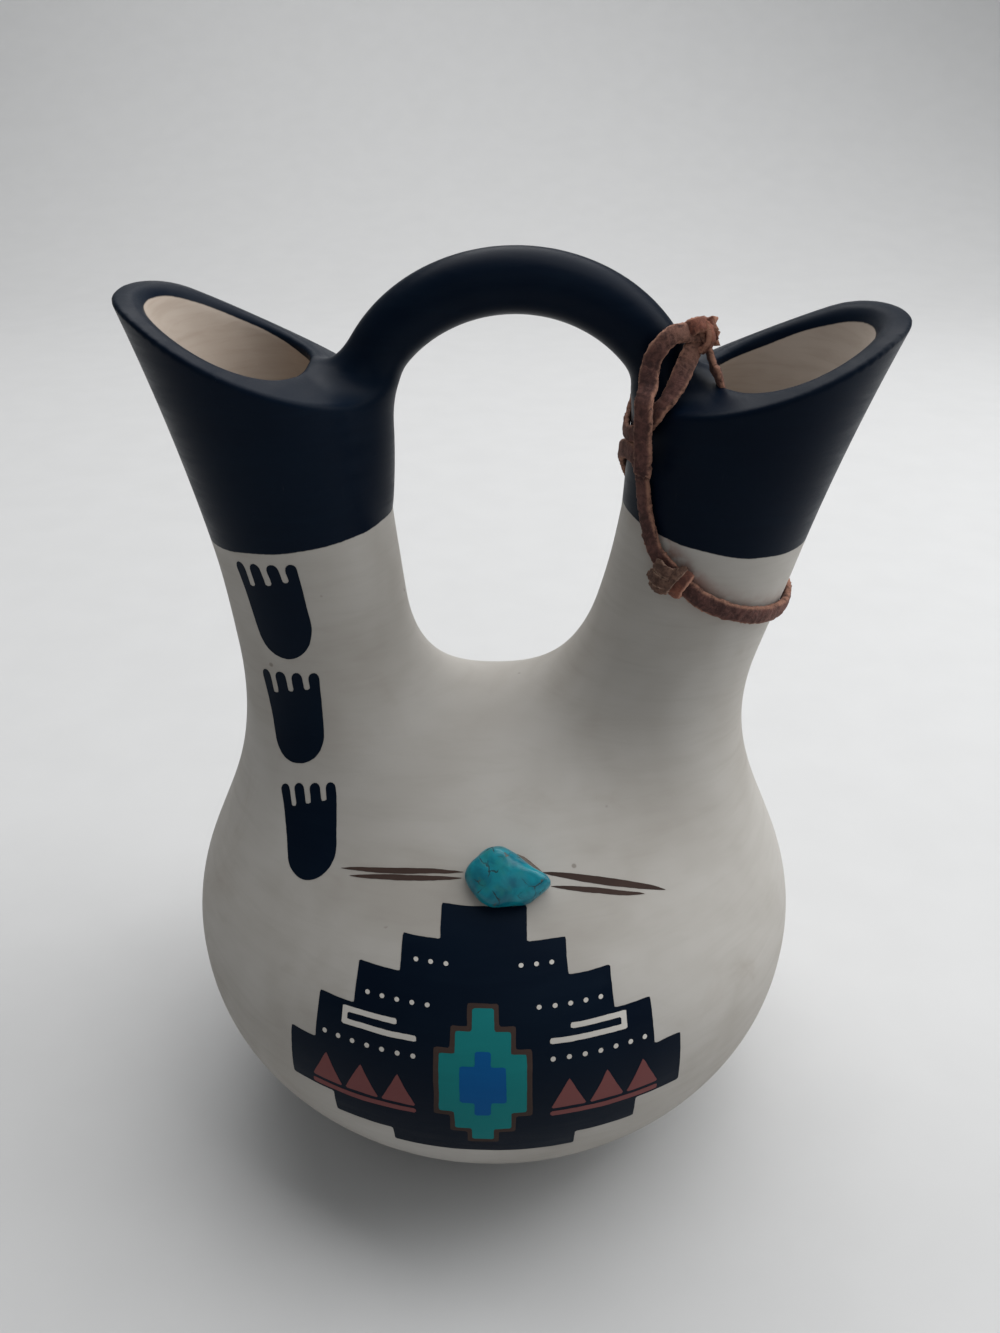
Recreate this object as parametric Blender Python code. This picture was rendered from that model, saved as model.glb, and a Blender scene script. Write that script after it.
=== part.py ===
"""Wedding vase of hand-coiled clay: a round belly, two spouts joined by a handle, a turquoise nugget
set in resin on the front, and a suede lace tied round the right spout.

Metres, +Z up, the decorated side towards -Y, the foot centred on the origin.
The clay is described by distance functions: each gives how far a point lies outside a surface, and is
negative inside it. The rings of the shells, the seat of the nugget and the route of the lace are all
read from these functions, so they follow the driving dimensions.
"""

import math

import bmesh
import bpy
import numpy as np
from mathutils import Matrix, Vector

# Belly
BELLY_RADIUS = 0.0700
BELLY_LEVEL = 0.0480  # height of the widest place
BELLY_RISE = 0.0457  # from the widest place up to the top of the bare belly
FOOT_RADIUS = 0.0330
WALL = 0.0050
FLOOR = 0.0065

# Necks and mouths
NECK_RADIUS = 0.0185
NECK_SPREAD = 0.0384  # from the middle of the pot to a neck's axis, at shoulder level
NECK_TILT = math.radians(10.4)
NECK_DEPTH = 0.0450  # how far a neck's axis runs down into the belly below shoulder level
SHOULDER_LEVEL = 0.1170
SHOULDER_FILLET = 0.0339
SADDLE_FILLET = 0.0500
MOUTH_FLARE = 0.0020  # growth of a neck's radius over one flare length
MOUTH_WIDENING = 0.08  # how much more a neck widens front to back over one flare length
FLARE_LENGTH = 0.0430
MOUTH_LEVEL = 0.1590  # height at which the two sloping mouth planes cross
MOUTH_SLOPE = math.radians(23.3)
MOUTH_DIP = 0.0018  # drop of the rim at its front and back
MOUTH_DIP_REACH = 0.0200
TIP_DROOP = 0.0027  # drop of the rim at its outer tip
TIP_DROOP_START = 0.0670
TIP_DROOP_REACH = 0.0100
LIP_ROUND = 0.0018
INNER_ROUND = 0.0012
WEB_EDGE = 0.0408  # where the thickened inner end of a rim stops and the mouth's hollow starts
WEB_SLANT = math.radians(30.0)
WEB_ROUND = 0.0140
JOINT_ABOVE_SADDLE = 0.0120  # where the planes of the two spout joints cross, above the saddle

# Handle
ARCH_HALF_WIDTH = 0.0322
ARCH_ABOVE_MOUTH = 0.0050
ARCH_LEVEL = MOUTH_LEVEL + ARCH_ABOVE_MOUTH
ARCH_RISE = 0.0292
ARCH_SHIFT = 0.0013
GRIP_RADIUS = 0.0064
ROOT_RADIUS = 0.0056
ROOT_LENGTH = 0.0180
ROOT_WELD = 0.0085

# The hand-built pot leans a little to the right above its belly.
LEAN = 0.0026
LEAN_TILT = math.radians(1.56)
LEAN_START = 0.0920
LEAN_END = 0.1390

# Nugget and its resin bed, measured along the clay's surface
NUGGET_X = 0.0029
NUGGET_LEVEL = 0.0839
NUGGET_HALF_WIDTH = 0.0082
NUGGET_HALF_HEIGHT = 0.0063
NUGGET_THICKNESS = 0.0056
BED_THICKNESS = 0.0005
NUGGET_CORNERS = 0.05  # how much the outline swells towards its four soft corners
CORNER_TURN = math.radians(51.6)
NUGGET_POINT = 0.10  # how much it reaches out to the blunt point at its right
POINT_SPREAD = math.radians(31.5)
DOME_POWER = 0.7  # below 1 gives steeper sides and a flatter top
RIDGE_FALL = 0.25  # loss of height from the ridge to the upper and lower edge
POINT_FALL = 0.10  # loss of height towards the blunt point
GIRDLE_SHARE = 0.12  # height of the widest outline, as a share of the thickness
UNDERCUT_SHARE = 0.10
BED_MARGIN = 0.0012  # how far the bed stays inside the nugget's outline
BED_DOME_POWER = 0.5

# Suede lace
LACE_DIAMETER = 0.0024
STRAND_STEP = 0.0043
KNOT_RADIUS = 0.0032
KNOT_GROOVES = 3
KNOT_GROOVE_SHARE = 0.10
KNOT_TWIST = 900  # radians per metre
TAIL_LENGTH = 0.0050
TAIL_WIDTH = 0.0030
TAIL_THICKNESS = 0.0014
# Each tail's rise and swing in degrees
LOWER_TAILS = [(10, 195), (25, 230)]
TOP_TAILS = [(70, 40), (45, 200)]
START_OUTSIDE = 1.4  # neck radii from the axis, from where the neck lace's points are pressed in

GAP = 0.0003  # left between pieces that touch

# Mesh fineness
RING_POINTS = 44
BELLY_RINGS = 29
SPOUT_RINGS = 8
FOOT_CROWDING = 1.2  # above 1 sets the belly's rings closer together near the foot
MOUTH_CROWDING = 0.85  # below 1 sets a spout's rings closer together near its mouth
ROUND_LIP = ((0.0, 1.0), (0.3, 0.3), (1.0, 0.0))  # shares of the rounding: inwards, and below the rim
PLUG_SHARES = (0.7, 0.4, 0.1)  # sizes of the rings that close a spout's cutter
ARCH_POINTS = 29
ROOT_DEPTHS = (0.3, 0.6, 0.85, 0.97)  # shares of the root's length
HANDLE_RESOLUTION = 4
LACE_RESOLUTION = 2
SHARP_ANGLE = math.radians(40)
SEARCH_STEPS = 400
BISECTIONS = 30
PRESS_ROUNDS = 12
PRESS_SHARE = 0.8
SLOPE_STEP = 0.0002

# The lace's places: x, y, height counted from ARCH_LEVEL so that the lace moves with the mouths and the
# handle, and how far off the clay.
LOWER_KNOT = (0.0321, -0.0207, -0.0234, 0.0035)
TOP_KNOT = (0.0368, -0.0044, 0.0214, 0.0046)

# Slanting turn round the neck, from the lower knot and back to it: turn in degrees from the outer side,
# clockwise seen from above, and height
NECK_ROUTE = [
    (106, -0.0256), (93, -0.0281), (72, -0.0304), (48, -0.0322), (22, -0.0338), (-8, -0.0346),
    (-40, -0.0333), (-72, -0.0298), (-105, -0.0237), (-135, -0.0161), (-160, -0.0086), (-180, -0.0040),
    (-195, -0.0028), (-205, -0.0045), (-210, -0.0073), (-213, -0.0100), (-217.5, -0.0133),
    (-223, -0.0166), (-230, -0.0201),
]

# Hanging strap, from its cut end over the neck's turn up to the top knot
RISER_ROUTE = [
    (0.0252, -0.0152, -0.0046, 0.0046), (0.0250, -0.0149, -0.0012, 0.0047),
    (0.0248, -0.0144, 0.0024, 0.0049), (0.0248, -0.0142, 0.0060, 0.0050),
    (0.0249, -0.0139, 0.0094, 0.0050), (0.0254, -0.0122, 0.0128, 0.0045),
    (0.0266, -0.0102, 0.0162, 0.0037), (0.0285, -0.0098, 0.0194, 0.0039),
    (0.0318, -0.0083, 0.0218, 0.0042), TOP_KNOT,
]

# Turn round the root of the handle, from the top knot and back to it
HANDLE_ROUTE = [
    TOP_KNOT, (0.0338, -0.0090, 0.0164, 0.0030), (0.0304, -0.0124, 0.0118, 0.0026),
    (0.0277, -0.0126, 0.0072, 0.0019), (0.0252, -0.0095, 0.0032, 0.0017),
    (0.0238, -0.0050, 0.0007, 0.0018), (0.0238, 0.0010, 0.0003, 0.0018),
    (0.0258, 0.0066, 0.0030, 0.0018), (0.0294, 0.0092, 0.0076, 0.0020),
    (0.0325, 0.0085, 0.0132, 0.0027), (0.0350, 0.0035, 0.0190, 0.0038), TOP_KNOT,
]

# End that hangs from the top knot over the rim and down inside the mouth
MOUTH_ROUTE = [
    TOP_KNOT, (0.0391, -0.0064, 0.0182, 0.0042), (0.0405, -0.0084, 0.0158, 0.0031),
    (0.0419, -0.0096, 0.0142, 0.0026), (0.0434, -0.0096, 0.0114, 0.0024),
    (0.0436, -0.0090, 0.0076, 0.0018), (0.0420, -0.0084, 0.0006, 0.0017),
    (0.0398, -0.0078, -0.0064, 0.0017), (0.0378, -0.0070, -0.0134, 0.0017),
    (0.0362, -0.0066, -0.0200, 0.0017),
]

COLOURS = {
    "slip": ((0.72, 0.68, 0.62), 0.75),
    "black_slip": ((0.020, 0.024, 0.034), 0.55),
    "turquoise": ((0.02, 0.42, 0.52), 0.30),
    "resin": ((0.10, 0.06, 0.03), 0.35),
    "suede": ((0.26, 0.12, 0.09), 0.95),
}


# Distance functions


def soft_min(a, b, reach):
    overlap = np.maximum(reach - np.abs(a - b), 0) / reach
    return np.minimum(a, b) - overlap * overlap * reach / 4


def soft_max(a, b, reach):
    return -soft_min(-a, -b, reach)


def ease(low, high, value):
    t = np.clip((value - low) / (high - low), 0, 1)
    return t * t * (3 - 2 * t)


def belly_distance(p):
    """Two half ellipsoids that share the widest circle; the lower one meets z = 0 at the foot's radius."""
    below = BELLY_LEVEL / math.sqrt(1 - (FOOT_RADIUS / BELLY_RADIUS) ** 2)
    up = p[..., 2] - BELLY_LEVEL
    height = np.where(up < 0, below, BELLY_RISE)
    wide = np.hypot(p[..., 0], p[..., 1])
    size = np.hypot(wide / BELLY_RADIUS, up / height)
    slope = np.hypot(wide / BELLY_RADIUS**2, up / height**2)
    return size * (size - 1) / np.maximum(slope, 1e-6)


def neck_distance(p, side):
    out = side * p[..., 0] - NECK_SPREAD
    up = p[..., 2] - SHOULDER_LEVEL
    along = out * math.sin(NECK_TILT) + up * math.cos(NECK_TILT)
    across = out * math.cos(NECK_TILT) - up * math.sin(NECK_TILT)
    rise = np.maximum(along, 0) / FLARE_LENGTH
    past_end = np.minimum(along + NECK_DEPTH, 0)
    round_ = np.sqrt(across**2 + (p[..., 1] / (1 + MOUTH_WIDENING * rise)) ** 2 + past_end**2)
    return round_ - (NECK_RADIUS + MOUTH_FLARE * rise**2)


def body_distance(p):
    """Belly and necks in one, before the foot, the mouths and the hollow are cut."""
    necks = soft_min(neck_distance(p, 1), neck_distance(p, -1), SADDLE_FILLET)
    return soft_min(belly_distance(p), necks, SHOULDER_FILLET)


def rim_drop(p):
    """How far the rim lies below its sloping plane: it dips at its front and back and droops at its tip."""
    dip = MOUTH_DIP * (p[..., 1] / MOUTH_DIP_REACH) ** 2
    droop = TIP_DROOP * (np.maximum(np.abs(p[..., 0]) - TIP_DROOP_START, 0) / TIP_DROOP_REACH) ** 2
    return dip + droop


def rim_level(p):
    return MOUTH_LEVEL + math.tan(MOUTH_SLOPE) * np.abs(p[..., 0]) - rim_drop(p)


def handle_distance(p):
    """Half an ellipse on two straight legs that fade out as they run down the necks."""
    out = np.abs(p[..., 0] - ARCH_SHIFT)
    up = p[..., 2] - ARCH_LEVEL
    above = np.maximum(up, 0)
    angle = np.arctan2(above / ARCH_RISE, out / ARCH_HALF_WIDTH)
    on_arch = np.hypot(out, above) - np.hypot(ARCH_HALF_WIDTH * np.cos(angle), ARCH_RISE * np.sin(angle))
    side = np.where(up > 0, on_arch, out - ARCH_HALF_WIDTH)
    radius = np.where(up > 0, arch_radius(np.sin(angle)), leg_radius(-up / ROOT_LENGTH))
    return np.maximum(np.hypot(side, p[..., 1]) - radius, -up - ROOT_LENGTH)


def arch_radius(height_share):
    return ROOT_RADIUS + (GRIP_RADIUS - ROOT_RADIUS) * ease(0.0, 0.9, height_share)


def leg_radius(depth_share):
    return ROOT_RADIUS * np.sqrt(np.clip(1 - depth_share**2, 1e-4, 1))


def hollow_distance(p):
    """The hollow: one wall in from the body, above the floor, and clear of the web under the handle."""
    hollow = soft_max(body_distance(p) + WALL, FLOOR - p[..., 2], 4 * INNER_ROUND)
    web_top = MOUTH_LEVEL + math.tan(MOUTH_SLOPE) * WEB_EDGE
    web = (p[..., 2] - web_top) * math.sin(WEB_SLANT) - (np.abs(p[..., 0]) - WEB_EDGE) * math.cos(WEB_SLANT)
    return soft_max(hollow, web, WEB_ROUND)


def clay_distance(p):
    """The whole fired pot."""
    mouth = (p[..., 2] - rim_level(p)) * math.cos(MOUTH_SLOPE)
    filled = soft_max(body_distance(p), mouth, 2 * LIP_ROUND)
    filled = soft_min(filled, handle_distance(p), ROOT_WELD)
    return np.maximum(soft_max(filled, -hollow_distance(p), 2 * INNER_ROUND), -p[..., 2])


def pressed(points, lifts):
    """The points moved straight in or out until each lies its lift away from the clay."""
    points = np.array(points, float)
    for _ in range(PRESS_ROUNDS):
        slope = np.empty_like(points)
        for axis, offset in enumerate(np.eye(3) * SLOPE_STEP):
            slope[:, axis] = clay_distance(points + offset) - clay_distance(points - offset)
        slope /= np.linalg.norm(slope, axis=1)[:, None]
        points -= slope * (clay_distance(points) - lifts)[:, None] * PRESS_SHARE
    return points


def leaned(points):
    """The points moved with the pot's lean to the right."""
    points = np.array(points, float)
    share = ease(LEAN_START, LEAN_END, points[:, 2])
    tilt = math.tan(LEAN_TILT)
    x = points[:, 0].copy()
    points[:, 0] += share * (LEAN + tilt * (points[:, 2] - LEAN_END))
    points[:, 2] -= share * tilt * x
    return points


# Scene helpers


def clear_scene():
    for thing in list(bpy.data.objects):
        bpy.data.objects.remove(thing)


def new_collection(name):
    made = bpy.data.collections.new(name)
    bpy.context.scene.collection.children.link(made)
    return made


def material(name):
    colour, roughness = COLOURS[name]
    made = bpy.data.materials.new(name)
    made.use_nodes = True
    shader = made.node_tree.nodes["Principled BSDF"]
    shader.inputs["Base Color"].default_value = (*colour, 1)
    shader.inputs["Roughness"].default_value = roughness
    shader.inputs["Metallic"].default_value = 0.0
    return made


def add_object(name, data, collection, finish=None):
    made = bpy.data.objects.new(name, data)
    collection.objects.link(made)
    if finish:
        data.materials.append(finish)
    return made


def finish_mesh(name, bm, collection, finish=None):
    bmesh.ops.recalc_face_normals(bm, faces=bm.faces)
    mesh = bpy.data.meshes.new(name)
    bm.to_mesh(mesh)
    bm.free()
    mesh.shade_smooth()
    mesh.set_sharp_from_angle(angle=SHARP_ANGLE)
    return add_object(name, mesh, collection, finish)


def cut(piece, cutter, name):
    modifier = piece.modifiers.new(name, "BOOLEAN")
    modifier.operation = "DIFFERENCE"
    modifier.solver = "EXACT"
    modifier.object = cutter


def as_cutter(thing):
    thing.hide_render = True
    thing.display_type = "WIRE"
    return thing


# Clay shells, lofted through rings that lie on slanting planes


def saddle_level():
    """Height of the clay on the pot's middle line, between the necks."""
    low, high = BELLY_LEVEL, MOUTH_LEVEL
    for _ in range(BISECTIONS):
        half = (low + high) / 2
        if body_distance(np.array([0.0, 0.0, half])) < 0:
            low = half
        else:
            high = half
    return high


def section_middle(pivot, out):
    """The middle of the clay along a line that leaves the pivot and passes through the pot once."""
    reach = np.linspace(0, 3 * BELLY_RADIUS, SEARCH_STEPS)
    inside = body_distance(pivot + out * reach[:, None]) < 0
    start = int(np.argmax(inside))
    end = start + int(np.argmin(inside[start:]))
    return pivot + out * (reach[start] + reach[end - 1]) / 2


def ring(level, slope, surface, rim_share=0.0, lift=0.0):
    """Points round a surface where a plane cuts it: the plane crosses the pot's middle at this level and
    rises outwards at this slope. Near a mouth the ring follows the rim's dip and droop.
    Each spoke is searched outwards for the first place that leaves the surface, then halved down to it."""
    pivot = np.array([0.0, 0.0, level])
    out = np.array([math.cos(slope), 0.0, math.sin(slope)])
    middle = section_middle(pivot, out)
    turn = np.linspace(0, 2 * math.pi, RING_POINTS, endpoint=False)[:, None]
    spoke = out * np.cos(turn) + np.array([0.0, 1.0, 0.0]) * np.sin(turn)

    def on_spokes(reach):
        points = middle + spoke * reach
        points[..., 2] += lift - rim_share * rim_drop(points)
        return points

    reach = np.linspace(0, 3 * BELLY_RADIUS, SEARCH_STEPS)
    steps = reach[:, None, None]
    outside = surface(on_spokes(steps)) >= 0
    first = np.argmax(outside, axis=0)
    near = reach[np.maximum(first - 1, 0)][:, None]
    far = reach[first][:, None]
    for _ in range(BISECTIONS):
        half = (near + far) / 2
        inside = surface(on_spokes(half))[:, None] < 0
        near = np.where(inside, half, near)
        far = np.where(inside, far, half)
    return on_spokes(far)


def mirrored(points):
    return points * np.array([-1.0, 1.0, 1.0])


def loft(name, rings, collection, finish=None, cap=False):
    """A skin over the rings. Without caps the last ring joins the first, as in a hollow shell."""
    bm = bmesh.new()
    rows = []
    for points in rings:
        rows.append([bm.verts.new(point) for point in leaned(points)])
    pairs = list(zip(rows, rows[1:]))
    if cap:
        for row in (rows[0], rows[-1]):
            centre = bm.verts.new(sum((vert.co for vert in row), Vector()) / len(row))
            for one, other in zip(row, row[1:] + row[:1]):
                bm.faces.new((one, other, centre))
    else:
        pairs.append((rows[-1], rows[0]))
    for row, following in pairs:
        for i in range(len(row)):
            k = (i + 1) % len(row)
            bm.faces.new((row[i], row[k], following[k], following[i]))
    return finish_mesh(name, bm, collection, finish)


def make_belly(collection, cutters, finish):
    joint_level = saddle_level() + JOINT_ABOVE_SADDLE
    shares = np.linspace(0, 1, BELLY_RINGS // 2 + 1) ** FOOT_CROWDING
    slopes = -math.pi / 2 + (math.pi / 2 - NECK_TILT) * shares
    half_outer = [ring(joint_level, slope, body_distance) for slope in slopes]
    half_inner = [ring(joint_level, slope, hollow_distance) for slope in slopes]
    outer = [mirrored(points) for points in half_outer[:0:-1]] + half_outer
    inner = [mirrored(points) for points in half_inner[:0:-1]] + half_inner
    belly = loft("belly", outer + inner[::-1], collection, finish)

    bm = bmesh.new()
    side = 3 * BELLY_RADIUS
    bmesh.ops.create_cube(bm, size=1, matrix=Matrix.LocRotScale((0, 0, -side / 2), None, (side, side, side)))
    under = as_cutter(finish_mesh("foot_cutter", bm, cutters))
    cut(belly, under, "flat foot")
    return belly


def spout_shares():
    """How far up a spout each of its rings lies, from the joint to just below the mouth."""
    return np.linspace(0, 1, SPOUT_RINGS + 1)[:-1] ** MOUTH_CROWDING


def spout_plane(share):
    """Level and slope of the ring this far up a spout: its plane turns from the joint's to the mouth's."""
    start = saddle_level() + JOINT_ABOVE_SADDLE + GAP
    joint_rise = -math.tan(NECK_TILT)
    rise = joint_rise + (math.tan(MOUTH_SLOPE) - joint_rise) * share
    return start + (MOUTH_LEVEL - start) * share, math.atan(rise)


def spout_outside(grow):
    """Rings up the outside of the right spout and over its rounded lip, the clay grown by this much."""
    rings = []
    for share in spout_shares():
        level, slope = spout_plane(share)
        rings.append(ring(level, slope, lambda p: body_distance(p) - grow, share**2))
    for inward, down in ROUND_LIP:
        depth = inward * LIP_ROUND - grow
        drop = grow - down * LIP_ROUND
        rings.append(ring(MOUTH_LEVEL, MOUTH_SLOPE, lambda p: body_distance(p) + depth, 1.0, drop))
    return rings


def spout_inside():
    """Rings from the lip down the inside of the right spout to its joint."""
    rings = []
    for inward, down in ROUND_LIP[::-1]:
        depth = inward * INNER_ROUND
        drop = -down * INNER_ROUND
        rings.append(ring(MOUTH_LEVEL, MOUTH_SLOPE, lambda p: hollow_distance(p) - depth, 1.0, drop))
    for share in spout_shares()[::-1]:
        level, slope = spout_plane(share)
        rings.append(ring(level, slope, hollow_distance, share**2))
    return rings


def make_spouts(collection, finish):
    rings = spout_outside(0.0) + spout_inside()
    loft("right_spout", rings, collection, finish)
    loft("left_spout", [mirrored(points) for points in rings], collection, finish)


def make_spout_cutters(cutters):
    """The spouts without their hollow, one gap larger, to trim the handle where it lands on the rims."""
    rings = spout_outside(GAP)
    lip = rings[-1]
    centre = lip.mean(axis=0)
    for share in PLUG_SHARES:
        inner = centre + (lip - centre) * share
        inner[:, 2] = rim_level(inner) + GAP
        rings.append(inner)
    right = loft("right_spout_cutter", rings, cutters, cap=True)
    left = loft("left_spout_cutter", [mirrored(points) for points in rings], cutters, cap=True)
    return as_cutter(left), as_cutter(right)


# Handle


def tube(name, points, radii, collection, bevel, finish=None):
    """A round tube with flat ends along a polyline, with one radius or one for each point."""
    curve = bpy.data.curves.new(name, "CURVE")
    curve.dimensions = "3D"
    radii = np.broadcast_to(radii, len(points))
    curve.bevel_depth = float(radii.max())
    curve.bevel_resolution = bevel
    curve.use_fill_caps = True
    spline = curve.splines.new("POLY")
    spline.points.add(len(points) - 1)
    for knot, place, radius in zip(spline.points, points, radii):
        knot.co = (*place, 1)
        knot.radius = radius / radii.max()
    return add_object(name, curve, collection, finish)


def as_mesh(thing, collection, finish):
    """The curve object made a closed mesh object of the same name, so that it can be cut."""
    graph = bpy.context.evaluated_depsgraph_get()
    mesh = bpy.data.meshes.new_from_object(thing.evaluated_get(graph))
    name, place = thing.name, thing.matrix_world.copy()
    bpy.data.objects.remove(thing)
    bm = bmesh.new()
    bm.from_mesh(mesh)
    bmesh.ops.remove_doubles(bm, verts=bm.verts, dist=1e-6)
    mesh.materials.clear()
    made = finish_mesh(name, bm, collection, finish)
    made.matrix_world = place
    return made


def make_handle(collection, trimmers, finish):
    angles = np.linspace(0, math.pi, ARCH_POINTS)
    points = []
    for angle in angles:
        points.append((ARCH_HALF_WIDTH * math.cos(angle), 0, ARCH_LEVEL + ARCH_RISE * math.sin(angle)))
    radii = [float(arch_radius(math.sin(a))) for a in angles]
    for depth in ROOT_DEPTHS:
        level = ARCH_LEVEL - depth * ROOT_LENGTH
        points = [(ARCH_HALF_WIDTH, 0, level), *points, (-ARCH_HALF_WIDTH, 0, level)]
        radii = [float(leg_radius(depth)), *radii, float(leg_radius(depth))]
    shifted = np.array(points) + np.array([ARCH_SHIFT, 0, 0])
    coil = tube("handle", leaned(shifted), radii, collection, HANDLE_RESOLUTION)
    handle = as_mesh(coil, collection, finish)
    for trimmer in trimmers:
        cut(handle, trimmer, "seat on " + trimmer.name)
    return handle


# Nugget and bed


def nugget_frame():
    """The place on the bare belly where the nugget sits, with its own x along the pot's width and its own
    z straight out of the clay."""
    front = np.array([[NUGGET_X, -BELLY_RADIUS, NUGGET_LEVEL]])
    near, far = 0.0, BELLY_RADIUS
    for _ in range(BISECTIONS):
        half = (near + far) / 2
        if body_distance(front + [0, half, 0])[0] > 0:
            near = half
        else:
            far = half
    seat = front[0] + [0, near, 0]
    step = 0.0005
    slopes = [body_distance(seat + e) - body_distance(seat - e) for e in np.eye(3) * step]
    out = Vector(slopes).normalized()
    across = (Vector((1, 0, 0)) - out * out.x).normalized()
    turn = Matrix((across, out.cross(across), out)).transposed()
    return Matrix.Translation(Vector(leaned([seat])[0])) @ turn.to_4x4()


def clay_under(frame, u, v):
    """Height of the clay in the nugget's frame, under a point given along the surface."""
    height = 0.0
    for _ in range(20):
        point = np.array(frame @ Vector((u, v, height)))
        height -= float(body_distance(point))
    return height


def outline_reach(turn):
    """The nugget's outline: a rounded pebble with a blunt point at its right. The turn is within half a
    circle to either side of that point."""
    corner = 1 + NUGGET_CORNERS * math.cos(4 * turn + CORNER_TURN)
    point = NUGGET_POINT * math.exp(-((turn / POINT_SPREAD) ** 2))
    across = NUGGET_HALF_WIDTH * math.cos(turn) * (corner + point)
    up = NUGGET_HALF_HEIGHT * math.sin(turn) * corner
    return across, up


def make_nugget(collection, frame, finish):
    back = BED_THICKNESS + 2 * GAP
    bm = bmesh.new()
    bmesh.ops.create_uvsphere(bm, u_segments=28, v_segments=14, radius=1)
    for vert in bm.verts:
        reach = math.hypot(vert.co.x, vert.co.y)
        across, up = outline_reach(math.atan2(vert.co.y, vert.co.x))
        u = across * reach
        v = up * reach
        height = back
        if abs(vert.co.z) < 1e-4:
            height += GIRDLE_SHARE * NUGGET_THICKNESS
        elif vert.co.z > 0:
            ridge = 1 - RIDGE_FALL * abs(v) / NUGGET_HALF_HEIGHT - POINT_FALL * u / NUGGET_HALF_WIDTH
            height += NUGGET_THICKNESS * vert.co.z**DOME_POWER * ridge
        else:
            u *= 1 - UNDERCUT_SHARE * math.sin(math.pi * vert.co.z) ** 2
        vert.co = (u, v, height)
    nugget = finish_mesh("turquoise_nugget", bm, collection, finish)
    nugget.matrix_world = frame
    return nugget


def make_bed(collection, frame, finish):
    """The resin that fills the space between the round belly and the nugget's flat back."""
    top = GAP + BED_THICKNESS
    bm = bmesh.new()
    bmesh.ops.create_uvsphere(bm, u_segments=24, v_segments=12, radius=1)
    for vert in bm.verts:
        across, up = outline_reach(math.atan2(vert.co.y, vert.co.x))
        reach = math.hypot(vert.co.x, vert.co.y) * (1 - BED_MARGIN / math.hypot(across, up))
        u = across * reach
        v = up * reach
        under = clay_under(frame, u, v) + GAP
        share = 0.5 + 0.5 * math.copysign(abs(vert.co.z) ** BED_DOME_POWER, vert.co.z)
        vert.co = (u, v, under + (top - under) * share)
    bed = finish_mesh("resin_bed", bm, collection, finish)
    bed.matrix_world = frame
    return bed


# Lace


def evened(points, spacing):
    """The polyline read at an even spacing from its first point to its last."""
    run = np.concatenate([[0], np.cumsum(np.linalg.norm(np.diff(points, axis=0), axis=1))])
    marks = np.linspace(0, run[-1], max(3, round(run[-1] / spacing) + 1))
    return np.stack([np.interp(marks, run, points[:, axis]) for axis in range(3)], axis=1)


def smooth_curve(points, spacing):
    """A smooth curve through the points, read at an even spacing."""
    points = np.array(points, float)
    padded = np.vstack([2 * points[0] - points[1], points, 2 * points[-1] - points[-2]])
    fine = []
    for a, b, c, d in zip(padded, padded[1:], padded[2:], padded[3:]):
        for t in np.linspace(0, 1, 24, endpoint=False):
            square = (2 * a - 5 * b + 4 * c - d) * t**2
            cube = (3 * b - a - 3 * c + d) * t**3
            fine.append(0.5 * (2 * b + (c - a) * t + square + cube))
    fine.append(points[-1])
    return evened(np.array(fine), spacing)


def neck_place(turn, height):
    """A point beside the right neck at this turn and height."""
    angle = math.radians(turn)
    axis = NECK_SPREAD + (ARCH_LEVEL + height - SHOULDER_LEVEL) * math.tan(NECK_TILT)
    reach = START_OUTSIDE * NECK_RADIUS
    return axis + reach * math.cos(angle), -reach * math.sin(angle), height


def route_points(route):
    """The route pressed to its lift off the clay and leaned with the pot."""
    route = np.array(route)
    places = route[:, :3] + [0, 0, ARCH_LEVEL]
    return leaned(pressed(places, route[:, 3]))


def clear_of(points, centres):
    """The stretch of the points that lies outside the knots."""
    keep = np.ones(len(points), bool)
    for centre in centres:
        keep &= np.linalg.norm(points - centre, axis=1) > KNOT_RADIUS + 2 * GAP
    return points[keep]


def make_strand(name, places, knots, collection, finish):
    """A length of lace through the places, cut back where a knot takes over."""
    free = clear_of(smooth_curve(places, GAP), knots)
    return tube(name, evened(free, STRAND_STEP), LACE_DIAMETER / 2, collection, LACE_RESOLUTION, finish)


def make_knot(name, centre, tails, collection, cutters, finish):
    """A lump of crossed turns of lace with its cut tails."""
    bm = bmesh.new()
    bmesh.ops.create_icosphere(bm, subdivisions=3, radius=KNOT_RADIUS)
    for vert in bm.verts:
        turn = KNOT_GROOVES * math.atan2(vert.co.z, vert.co.x) + KNOT_TWIST * vert.co.y
        vert.co *= 1 - KNOT_GROOVE_SHARE * (0.5 - 0.5 * math.cos(turn))
    knot = finish_mesh(name, bm, collection, finish)
    knot.location = centre
    for index, (rise, swing) in enumerate(tails):
        bm = bmesh.new()
        bmesh.ops.create_cube(bm, size=1)
        bmesh.ops.scale(bm, vec=(TAIL_LENGTH, TAIL_WIDTH, TAIL_THICKNESS), verts=bm.verts)
        bmesh.ops.translate(bm, vec=(TAIL_LENGTH / 2, 0, 0), verts=bm.verts)
        turn = Matrix.Rotation(math.radians(swing), 4, "Z") @ Matrix.Rotation(math.radians(-rise), 4, "Y")
        tail = as_cutter(finish_mesh(f"{name}_tail_{index}", bm, cutters))
        tail.matrix_world = Matrix.Translation(Vector(centre)) @ turn
        union = knot.modifiers.new("tail", "BOOLEAN")
        union.operation = "UNION"
        union.solver = "EXACT"
        union.object = tail
    return knot


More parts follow.
